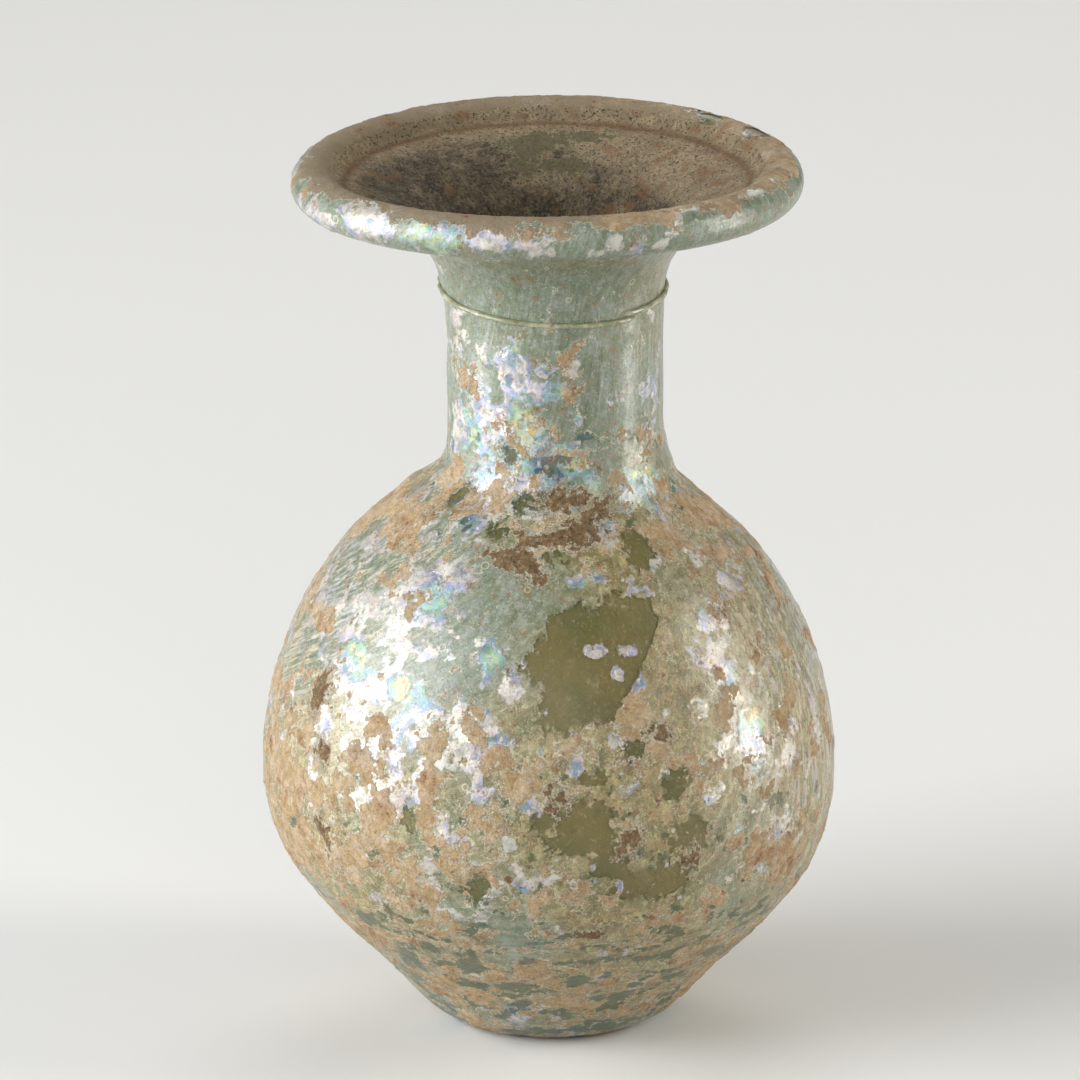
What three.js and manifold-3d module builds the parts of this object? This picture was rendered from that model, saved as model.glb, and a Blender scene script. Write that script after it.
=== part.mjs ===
// Free-blown glass flask: a globular body on a small pushed-in base, a short cylindrical neck,
// a wide funnel mouth whose edge is rolled into a thick rim, and one fine thread of glass
// trailed round the top of the neck. The thread was laid on hot, so the flask is one piece.
// Millimetres, +Z up. The origin is on the surface it stands on, under the middle of the body.
import * as THREE from "three";
import { mergeVertices } from "three/addons/utils/BufferGeometryUtils.js";
import Module from "manifold-3d";

// Driving dimensions.
const FLASK_HEIGHT = 120; // to the top of the rolled rim
const BODY_RADIUS = 38.7;
const NECK_RADIUS = 14.6;

// Base: a shallow kick inside a flat ring that the flask stands on.
const KICK_HEIGHT = 1.4;
const KICK_RADIUS = 9;
const RING_RADIUS = 13;

// Rolled rim: an oval roll of glass standing above the funnel. It isn't quite level: the front
// and back stand higher than the sides, and +X stands higher than -X.
const ROLL_HALF_WIDTH = 3.1;
const ROLL_HALF_HEIGHT = 2.9;
const ROLL_RADIUS = 31.25; // axis of the flask to the middle of the roll
const ROLL_WARP = 0.3;
const ROLL_LIFT = 0.25;
const ROLL_MIDDLE = FLASK_HEIGHT - ROLL_HALF_HEIGHT - ROLL_WARP;
const ROLL_BEGINS = -85; // degrees round the roll from outside, where the funnel's underside meets it
const ROLL_ENDS = 167; // and where its inner face meets the groove above the funnel

// Inner wall: shares of the outer wall's length where it leaves the groove inside the rim, and
// where it meets the floor.
const FUNNEL_START = 0.985;
const FLOOR_END = 0.028;

// Thread trailed round the neck, one turn and an overlap, its ends melted into the wall.
const THREAD_RADIUS = 0.42;
const THREAD_STANDS_OUT = 0.3; // middle of the thread outside the neck's wall
const THREAD_HEIGHT = 102; // mean height of the turn
const THREAD_TILT = 1.14; // how far the turn's high side rises above the mean height
const THREAD_LOW_SIDE = 23; // where it is lowest, in degrees from the front towards +X
const THREAD_DROP = 0.95; // how far the end lies under the beginning
const THREAD_START = 31; // degrees from the front towards +X
const THREAD_SWEEP = 382; // degrees
const THREAD_MELT = 0.035; // share of the length over which each end sinks in

// Mesh fineness.
const STEPS_AROUND = 60;
const OUTER_STEPS = 30;
const INNER_STEPS = 22;
const ROLL_STEPS = 9;
const KICK_STEPS = 3;
const THREAD_STEPS = 80;
const THREAD_SIDES = 6;

// Outer wall from the heel up to the underside of the roll: radius, height, and the thickness
// of the glass there.
const OUTER_WALL = [
  [RING_RADIUS, 0, 2.9],
  [16.5, 1.8, 2.5],
  [23.1, 8.7, 2.0],
  [30.5, 16.3, 1.7],
  [35.9, 23.6, 1.6],
  [BODY_RADIUS - 0.4, 31, 1.6],
  [BODY_RADIUS, 36.2, 1.6],
  [37.6, 45.6, 1.6],
  [33.6, 56.8, 1.6],
  [27.8, 65.8, 1.7],
  [20.3, 72.9, 1.9],
  [16.1, 76.8, 2.1],
  [NECK_RADIUS + 0.2, 80.8, 2.1],
  [NECK_RADIUS, 90, 2.0],
  [NECK_RADIUS + 0.1, 98, 2.0],
  [15.3, 103.6, 2.1],
  [16.6, 107, 2.2],
  [20.3, 110.9, 2.5],
  [26.8, 114, 2.8],
  [ROLL_RADIUS - 1.6, ROLL_MIDDLE - 2.45, 2.9],
];

// The flask was turned by hand, so its rings aren't quite on one axis: height and shift along +X.
const DRIFT = [
  [0, 0.4],
  [18, 0.65],
  [32, 0],
  [60, -0.05],
  [73.5, -0.3],
  [78, 1.15],
  [84, 0.85],
  [98, 0.75],
  [104, 0.45],
  [109, 0.4],
  [114, -0.25],
  [FLASK_HEIGHT, -0.25],
];

// Smooth value at one height from a list of [height, value].
function between(list, height) {
  const last = list.length - 1;
  if (height <= list[0][0]) return list[0][1];
  if (height >= list[last][0]) return list[last][1];
  const upper = list.findIndex(([at]) => at > height);
  const [low, before] = list[upper - 1];
  const [high, after] = list[upper];
  return THREE.MathUtils.lerp(before, after, THREE.MathUtils.smoothstep(height, low, high));
}

// The outer wall as a curve whose third coordinate is the thickness.
function outerCurve() {
  const points = OUTER_WALL.map(([radius, height, wall]) => new THREE.Vector3(radius, height, wall));
  return new THREE.CatmullRomCurve3(points, false, "centripetal");
}

// The inner wall's point opposite the outer one at u, as far in as the glass is thick there.
function innerPoint(curve, u) {
  const outer = curve.getPointAt(u);
  const along = curve.getTangentAt(u);
  const length = Math.hypot(along.x, along.y);
  return new THREE.Vector2(
    outer.x - (outer.z * along.y) / length,
    outer.y + (outer.z * along.x) / length,
  );
}

// A point on the roll's oval section, from outside (0 degrees) over the top.
function rollPoint(degrees) {
  const angle = THREE.MathUtils.degToRad(degrees);
  return new THREE.Vector2(
    ROLL_RADIUS + ROLL_HALF_WIDTH * Math.cos(angle),
    ROLL_MIDDLE + ROLL_HALF_HEIGHT * Math.sin(angle),
  );
}

// The glass's closed section: kick, standing ring, outer wall, roll, funnel, inside of the neck
// and body, and back to the axis.
function sectionPoints(curve) {
  const points = [];
  for (let i = 0; i < KICK_STEPS; i++) {
    const radius = (KICK_RADIUS * i) / KICK_STEPS;
    points.push(new THREE.Vector2(radius, KICK_HEIGHT * (1 - (radius / KICK_RADIUS) ** 2)));
  }
  points.push(new THREE.Vector2(KICK_RADIUS, 0));
  for (let i = 0; i <= OUTER_STEPS; i++) {
    const outer = curve.getPointAt(i / OUTER_STEPS);
    points.push(new THREE.Vector2(outer.x, outer.y));
  }
  for (let i = 0; i <= ROLL_STEPS; i++) {
    points.push(rollPoint(THREE.MathUtils.lerp(ROLL_BEGINS, ROLL_ENDS, i / ROLL_STEPS)));
  }
  for (let i = 0; i <= INNER_STEPS; i++) {
    points.push(innerPoint(curve, THREE.MathUtils.lerp(FUNNEL_START, FLOOR_END, i / INNER_STEPS)));
  }
  points.push(new THREE.Vector2(0, KICK_HEIGHT + OUTER_WALL[0][2]));
  return points;
}

// Outer radius at a height on the neck, read off the wall's curve.
function neckRadiusAt(curve, height) {
  const neck = curve.getPoints(200).filter((p) => p.y > 80 && p.y < 110);
  const above = neck.findIndex((p) => p.y >= height);
  const [low, high] = [neck[above - 1], neck[above]];
  return THREE.MathUtils.mapLinear(height, low.y, high.y, low.x, high.x);
}

// The line down the middle of the trailed thread.
class ThreadLine extends THREE.Curve {
  constructor(wall) {
    super();
    this.wall = wall;
  }

  getPoint(t, target = new THREE.Vector3()) {
    const turn = THREE.MathUtils.degToRad(THREAD_START + THREAD_SWEEP * t);
    const fromLowSide = turn - THREE.MathUtils.degToRad(THREAD_LOW_SIDE);
    const height = THREAD_HEIGHT - THREAD_TILT * Math.cos(fromLowSide) + THREAD_DROP * (0.5 - t);
    const melt = THREE.MathUtils.smoothstep(Math.min(t, 1 - t), 0, THREAD_MELT);
    const radius = neckRadiusAt(this.wall, height) + THREAD_STANDS_OUT - 2 * THREAD_RADIUS * (1 - melt);
    return target.set(radius * Math.sin(turn), -radius * Math.cos(turn), height);
  }
}

// The section turned round the axis. LatheGeometry turns about Y, so it is stood up to turn about Z.
function wallGeometry(curve) {
  return new THREE.LatheGeometry(sectionPoints(curve), STEPS_AROUND).rotateX(Math.PI / 2);
}

function threadGeometry(curve) {
  const section = new THREE.Shape();
  for (let i = 0; i < THREAD_SIDES; i++) {
    const angle = (2 * Math.PI * i) / THREAD_SIDES;
    const [x, y] = [THREAD_RADIUS * Math.cos(angle), THREAD_RADIUS * Math.sin(angle)];
    if (i === 0) section.moveTo(x, y);
    else section.lineTo(x, y);
  }
  section.closePath();
  return new THREE.ExtrudeGeometry(section, {
    steps: THREAD_STEPS,
    extrudePath: new ThreadLine(curve),
    bevelEnabled: false,
  });
}

const wasm = await Module();
wasm.setup();

// A closed geometry as a solid that can be joined to another.
function solidOf(geometry) {
  const bare = geometry.clone();
  bare.deleteAttribute("normal");
  bare.deleteAttribute("uv");
  const merged = mergeVertices(bare, 1e-4);
  return new wasm.Manifold(
    new wasm.Mesh({
      numProp: 3,
      vertProperties: merged.attributes.position.array,
      triVerts: new Uint32Array(merged.index.array),
    }),
  );
}

function geometryOf(solid) {
  const { vertProperties, triVerts } = solid.getMesh();
  return new THREE.BufferGeometry()
    .setAttribute("position", new THREE.BufferAttribute(vertProperties, 3))
    .setIndex(new THREE.BufferAttribute(triVerts, 1));
}

// Shifts every ring along +X by the flask's drift at its height, and warps the rim.
function drifted(geometry) {
  const place = geometry.getAttribute("position");
  for (let i = 0; i < place.count; i++) {
    const [x, y, height] = [place.getX(i), place.getY(i), place.getZ(i)];
    const inRim = THREE.MathUtils.smoothstep(height, ROLL_MIDDLE - 8, ROLL_MIDDLE);
    const warp = ROLL_WARP * Math.cos(2 * Math.atan2(x, -y)) + (ROLL_LIFT * x) / ROLL_RADIUS;
    place.setX(i, x + between(DRIFT, height));
    place.setZ(i, height + warp * inRim);
  }
  geometry.computeVertexNormals();
  return geometry;
}

const weatheredGlass = new THREE.MeshStandardMaterial({
  name: "weathered_glass",
  color: new THREE.Color(0.62, 0.6, 0.46),
  roughness: 0.45,
  metalness: 0,
});

const wall = outerCurve();
const glass = solidOf(wallGeometry(wall)).add(solidOf(threadGeometry(wall)));
const flask = new THREE.Mesh(drifted(geometryOf(glass)), weatheredGlass);
flask.name = "flask";

const group = new THREE.Group();
group.add(flask);

export default group;
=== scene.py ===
"""A free-blown glass perfume flask that lay in the ground: green glass under a flaking skin.

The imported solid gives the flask's size. Made here are the glass wall, the weathering skins that
lie on it, the deposits inside, the trailed thread and the loose crumbs of soil.
"""

import logging
import math
from dataclasses import dataclass, field
from enum import Enum

import bpy
import numpy as np
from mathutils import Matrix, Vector


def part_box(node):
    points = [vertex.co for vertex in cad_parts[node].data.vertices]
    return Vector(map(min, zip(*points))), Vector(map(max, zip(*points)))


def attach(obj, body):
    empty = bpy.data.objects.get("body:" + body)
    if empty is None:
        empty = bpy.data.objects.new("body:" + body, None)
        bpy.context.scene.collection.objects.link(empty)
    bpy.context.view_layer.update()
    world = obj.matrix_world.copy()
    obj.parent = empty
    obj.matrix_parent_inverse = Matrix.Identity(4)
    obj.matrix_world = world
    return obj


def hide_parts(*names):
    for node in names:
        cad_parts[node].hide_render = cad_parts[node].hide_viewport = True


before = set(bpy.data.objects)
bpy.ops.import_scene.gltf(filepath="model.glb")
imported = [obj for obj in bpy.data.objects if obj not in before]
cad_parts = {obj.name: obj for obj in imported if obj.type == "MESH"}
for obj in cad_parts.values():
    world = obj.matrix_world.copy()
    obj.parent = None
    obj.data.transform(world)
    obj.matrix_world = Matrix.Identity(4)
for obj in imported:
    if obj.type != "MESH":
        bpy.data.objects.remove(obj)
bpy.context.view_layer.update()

NODE = "flask"
BODY = "root"
LOG = logging.getLogger("flask")

Colour = tuple[float, float, float, float]
Value = bpy.types.NodeSocket | float | int | tuple
Fields = dict[str, np.ndarray]


def paint(red: int, green: int, blue: int) -> Colour:
    """The linear colour of a screen colour from 0 to 255."""
    shares = [part / 255 for part in (red, green, blue)]
    linear = [((c + 0.055) / 1.055) ** 2.4 if c > 0.04 else c / 12.92 for c in shares]
    return (*linear, 1.0)


def ease(value: np.ndarray, low: float, high: float) -> np.ndarray:
    """Rises smoothly from 0 at low to 1 at high."""
    share = np.clip((value - low) / (high - low), 0, 1)
    return share * share * (3 - 2 * share)


# ---------------------------------------------------------------- the flask's form


class Zone(Enum):
    """The stretches of the section, each with its own way of telling how far along it a place is."""

    WALL = "height on the outer wall, mm"
    ROLL = "degrees round the rolled rim, from outside over the top"
    FUNNEL = "radius on the funnel's inner face, mm"


def smooth_line(points: np.ndarray, steps: int = 60) -> np.ndarray:
    """A smooth line through points, with the centripetal spacing that never loops.

    Args:
        points: the points to pass through, one a row.
        steps: how many points to give for each stretch.

    Returns:
        The line's points, one a row.
    """
    full = np.vstack([2 * points[0] - points[1], points, 2 * points[-1] - points[-2]])
    gap = np.linalg.norm(np.diff(full, axis=0), axis=1)[:, None] ** 0.5
    before, start, end, after = full[:-3], full[1:-2], full[2:-1], full[3:]
    g0, g1, g2 = gap[:-2], gap[1:-1], gap[2:]
    leave = ((start - before) / g0 - (end - before) / (g0 + g1) + (end - start) / g1) * g1
    arrive = ((end - start) / g1 - (after - start) / (g1 + g2) + (after - end) / g2) * g1
    t = np.linspace(0, 1, steps, endpoint=False)[None, :, None]
    start, end, leave, arrive = (part[:, None, :] for part in (start, end, leave, arrive))
    square = 3 * (end - start) - 2 * leave - arrive
    cube = 2 * (start - end) + leave + arrive
    line = start + leave * t + square * t**2 + cube * t**3
    return np.vstack([line.reshape(-1, points.shape[1]), points[-1:]])


def lengths(points: np.ndarray) -> np.ndarray:
    """How far along a line each of its points is."""
    return np.concatenate([[0], np.cumsum(np.linalg.norm(np.diff(points, axis=0), axis=1))])


@dataclass
class FlaskForm:
    """The flask's closed section and its unevenness, in millimetres.

    The section runs from the middle of the base up the outside, over the rolled rim, down the
    funnel and the inside, and ends on the axis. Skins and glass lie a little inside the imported
    solid, so that soil has room to stand on them.
    """

    height: float = 120
    body_radius: float = 38.7
    neck_radius: float = 14.6
    kick_height: float = 1.4
    kick_radius: float = 9
    ring_radius: float = 13
    roll_radius: float = 31.25
    roll_half_width: float = 3.1
    roll_half_height: float = 2.9
    roll_warp: float = 0.3
    roll_lift: float = 0.25
    roll_begins: float = -85
    roll_ends: float = 167
    funnel_starts: float = 0.985
    floor_ends: float = 0.028
    inset: float = 0.15
    spacing: float = 0.2

    def __post_init__(self) -> None:
        """Works out the section once."""
        self.roll_middle = self.height - self.roll_half_height - self.roll_warp
        self.lowest, self.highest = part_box(NODE)
        self.unit = (self.highest.z - self.lowest.z) / self.height
        kick = np.linspace(0, self.kick_radius, 40)
        under = np.stack([kick, self.kick_height * (1 - (kick / self.kick_radius) ** 2)], axis=1)
        wall = smooth_line(self.wall_points())
        angle = np.radians(np.linspace(self.roll_begins, self.roll_ends, 90))
        roll = np.stack(
            [
                self.roll_radius + self.roll_half_width * np.cos(angle),
                self.roll_middle + self.roll_half_height * np.sin(angle),
            ],
            axis=1,
        )
        inner = self.inner_wall(wall)
        floor = np.array([(0, self.kick_height + wall[0, 2])])
        corners = [under, wall[:, :2], roll, inner, floor]
        self.marks = np.cumsum([0, *(len(part) for part in corners)])
        rough = np.vstack(corners)
        self.along, self.points = self.rounded(rough)
        rough_along = lengths(rough)
        self.wall_range = rough_along[[self.marks[1], self.marks[2] - 1]]
        self.roll_range = rough_along[[self.marks[2], self.marks[3] - 1]]
        self.inner_range = rough_along[[self.marks[3], self.marks[4] - 1]]
        self.total = self.along[-1]
        step = np.gradient(self.points, self.along, axis=0)
        step /= np.linalg.norm(step, axis=1)[:, None]
        self.outward = np.stack([step[:, 1], -step[:, 0]], axis=1)

    def wall_points(self) -> np.ndarray:
        """Radius, height and thickness of the glass from the heel up to the underside of the roll."""
        body, neck = self.body_radius, self.neck_radius
        heel = [(self.ring_radius, 0, 2.9), (16.5, 1.8, 2.5), (23.1, 8.7, 2.0), (30.5, 16.3, 1.7)]
        belly = [(35.9, 23.6, 1.6), (body - 0.4, 31, 1.6), (body, 36.2, 1.6), (37.6, 45.6, 1.6)]
        shoulder = [(33.6, 56.8, 1.6), (27.8, 65.8, 1.7), (20.3, 72.9, 1.9), (16.1, 76.8, 2.1)]
        tube = [(neck + 0.2, 80.8, 2.1), (neck, 90, 2.0), (neck + 0.1, 98, 2.0), (15.3, 103.6, 2.1)]
        flare = [(16.6, 107, 2.2), (20.3, 110.9, 2.5), (26.8, 114, 2.8)]
        lip = [(self.roll_radius - 1.6, self.roll_middle - 2.45, 2.9)]
        return np.array(heel + belly + shoulder + tube + flare + lip)

    def inner_wall(self, wall: np.ndarray) -> np.ndarray:
        """The inner face, as far in from the wall as the glass is thick, from the funnel down."""
        share = lengths(wall)
        share /= share[-1]
        step = np.gradient(wall[:, :2], share, axis=0)
        step /= np.linalg.norm(step, axis=1)[:, None]
        inner = wall[:, :2] + wall[:, 2:] * np.stack([-step[:, 1], step[:, 0]], axis=1)
        kept = (share > self.floor_ends) & (share < self.funnel_starts)
        return inner[kept][::-1]

    def rounded(self, points: np.ndarray) -> tuple[np.ndarray, np.ndarray]:
        """Evens a line's spacing and rounds its corners as hot glass does.

        Args:
            points: the line with its corners.

        Returns:
            How far along the line each point is, and the points.
        """
        far = lengths(points)
        even = np.arange(0, far[-1], self.spacing)
        line = np.stack([np.interp(even, far, part) for part in points.T], axis=1)
        for _ in range(6):
            line[1:-1] = (line[:-2] + 2 * line[1:-1] + line[2:]) / 4
        return even, line

    def find(self, zone: Zone, value: float) -> float:
        """How far along the section a place is.

        Args:
            zone: the stretch it is on.
            value: its height, angle or radius, as the zone says.

        Returns:
            The distance in millimetres from the middle of the base.
        """
        if zone is Zone.ROLL:
            return float(np.interp(value, (self.roll_begins, self.roll_ends), self.roll_range))
        low, high = self.wall_range if zone is Zone.WALL else self.inner_range
        part = (self.along >= low) & (self.along <= high)
        if zone is Zone.WALL:
            return float(np.interp(value, self.points[part, 1], self.along[part]))
        part &= self.points[:, 1] > self.height * 0.8
        return float(np.interp(value, self.points[part, 0][::-1], self.along[part][::-1]))

    def at(self, along: np.ndarray) -> tuple[np.ndarray, np.ndarray]:
        """Points and outward directions of the section, as radius and height.

        Args:
            along: distances along the section.

        Returns:
            The points and the directions, one a row.
        """
        points = np.stack([np.interp(along, self.along, part) for part in self.points.T], axis=1)
        out = np.stack([np.interp(along, self.along, part) for part in self.outward.T], axis=1)
        return points, out / np.linalg.norm(out, axis=1)[:, None]

    def drift(self, height: np.ndarray) -> np.ndarray:
        """How far each ring of the hand-turned flask is off the axis, along +X."""
        heights = np.array((0, 18, 32, 60, 73.5, 78, 84, 98, 104, 109, 114, self.height))
        shifts = np.array((0.4, 0.65, 0, -0.05, -0.3, 1.15, 0.85, 0.75, 0.45, 0.4, -0.25, -0.25))
        height = np.clip(height, 0, self.height - 1e-6)
        upper = np.searchsorted(heights, height, side="right")
        share = ease((height - heights[upper - 1]) / (heights[upper] - heights[upper - 1]), 0, 1)
        return shifts[upper - 1] + (shifts[upper] - shifts[upper - 1]) * share

    def settle(self, place: np.ndarray) -> np.ndarray:
        """Gives points on the true turned form the flask's drift and the rim's warp."""
        x, y, height = place.T
        in_rim = ease(height, self.roll_middle - 8, self.roll_middle)
        warp = self.roll_warp * np.cos(2 * np.arctan2(x, -y)) + self.roll_lift * x / self.roll_radius
        return np.stack([x + self.drift(height), y, height + warp * in_rim], axis=1)


# ---------------------------------------------------------------- noise and patches


class Lattice:
    """Smooth seeded noise in space, about -1 to 1."""

    CORNERS = [(a, b, c) for a in (0, 1) for b in (0, 1) for c in (0, 1)]

    def __init__(self, seed: int) -> None:
        """Draws the slopes and the shuffled table from a seed."""
        draw = np.random.default_rng(seed)
        slopes = draw.normal(size=(256, 3))
        self.slopes = slopes / np.linalg.norm(slopes, axis=1)[:, None]
        self.table = np.tile(draw.permutation(256), 3)
        self.shift = draw.uniform(0, 100, 3)

    def at(self, place: np.ndarray, size: float) -> np.ndarray:
        """One layer of noise.

        Args:
            place: points in millimetres, one a row.
            size: the width of one bump, in millimetres.

        Returns:
            One value for each point.
        """
        spot = place / size + self.shift
        cell = np.floor(spot).astype(int)
        part = spot - cell
        fade = part * part * part * (part * (part * 6 - 15) + 10)
        total = np.zeros(len(place))
        for corner in self.CORNERS:
            x, y, z = ((cell + corner) & 255).T
            slope = self.slopes[self.table[self.table[self.table[x] + y] + z]]
            weight = np.prod(np.where(corner, fade, 1 - fade), axis=1)
            total += weight * np.einsum("ij,ij->i", slope, part - corner)
        return total * 1.6

    def layered(self, place: np.ndarray, size: float, layers: int, gain: float = 0.6) -> np.ndarray:
        """Several layers of noise, each half the size of the one before.

        Args:
            place: points in millimetres, one a row.
            size: the width of the largest bump.
            layers: how many layers.
            gain: the strength of each layer against the one before.

        Returns:
            One value for each point, about -1 to 1.
        """
        total = np.zeros(len(place))
        strength = 1.0
        for step in range(layers):
            total += strength * self.at(place + 31.7 * step, size / 2**step)
            strength *= gain
        return total


@dataclass
class Skin:
    """The points of one band of the flask's surface, before soil and flaking shape it."""

    along: np.ndarray
    turn: np.ndarray
    radius: np.ndarray
    height: np.ndarray

    @property
    def place(self) -> np.ndarray:
        """The points in space, one a row."""
        angle = np.radians(self.turn)
        return np.stack([self.radius * np.sin(angle), -self.radius * np.cos(angle), self.height], axis=1)

    def twisted(self) -> np.ndarray:
        """The points wound back along the glass's twist, which is steep on the left side only."""
        angle = np.radians(self.turn)
        twist = 0.026 * (1 - np.sin(angle)) * (self.height - 60)
        wound = angle - twist
        return np.stack([self.radius * np.sin(wound), -self.radius * np.cos(wound), self.height], axis=1)


@dataclass(frozen=True)
class Patch:
    """A patch on the surface, leaning to the right by lean degrees, with sizes in millimetres."""

    turn: float
    at: float
    wide: float
    tall: float
    lean: float = 0
    weight: float = 1
    square: float = 2
    zone: Zone = Zone.WALL

    def spread(self, skin: Skin, form: FlaskForm) -> np.ndarray:
        """How far each point is from the patch's middle, as a share of its own reach."""
        middle = form.find(self.zone, self.at)
        radius = form.at(np.array([middle]))[0][0, 0]
        across = np.radians((skin.turn - self.turn + 180) % 360 - 180) * radius
        up = skin.along - middle
        lean = math.radians(self.lean)
        along = across * math.cos(lean) + up * math.sin(lean)
        aside = up * math.cos(lean) - across * math.sin(lean)
        grown = np.abs(along / self.wide) ** self.square + np.abs(aside / self.tall) ** self.square
        return grown ** (1 / self.square)

    def reach(self, skin: Skin, form: FlaskForm) -> np.ndarray:
        """About how many millimetres each point lies inside the patch's edge."""
        return (1 - self.spread(skin, form)) * min(self.wide, self.tall) * self.weight

    def glow(self, skin: Skin, form: FlaskForm) -> np.ndarray:
        """The patch's weight, fading softly from its middle."""
        return self.weight * np.exp(-self.spread(skin, form) ** 2)


@dataclass(frozen=True)
class Pane:
    """A patch with straight sides.

    Its corners run anticlockwise, as turn, height and how crisp the side is that starts there.
    """

    corners: tuple[tuple[float, float, float], ...]

    def reach(self, skin: Skin, form: FlaskForm) -> np.ndarray:
        """About how many millimetres each point lies inside the pane's edge."""
        height = sum(corner[1] for corner in self.corners) / len(self.corners)
        radius = form.at(np.array([form.find(Zone.WALL, height)]))[0][0, 0]
        spots = [(math.radians(turn) * radius, form.find(Zone.WALL, at), crisp) for turn, at, crisp in self.corners]
        across, up = np.radians(skin.turn) * radius, skin.along
        inside = np.full(len(up), 1e3)
        for (x0, y0, crisp), (x1, y1, _) in zip(spots, spots[1:] + spots[:1]):
            side = math.hypot(x1 - x0, y1 - y0) / crisp
            inside = np.minimum(inside, ((up - y0) * (x1 - x0) - (across - x0) * (y1 - y0)) / side)
        return inside


def furthest_in(patches: list[Patch | Pane], skin: Skin, form: FlaskForm) -> np.ndarray:
    """How deep each point lies in the patch that holds it best, in millimetres."""
    depth = np.full(len(skin.along), -6.0)
    for patch in patches:
        depth = np.maximum(depth, patch.reach(skin, form))
    return depth


def summed(patches: list[Patch], skin: Skin, form: FlaskForm) -> np.ndarray:
    """The patches' soft weights added up."""
    return sum((patch.glow(skin, form) for patch in patches), np.zeros(len(skin.along)))


# ---------------------------------------------------------------- what the ground left


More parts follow.
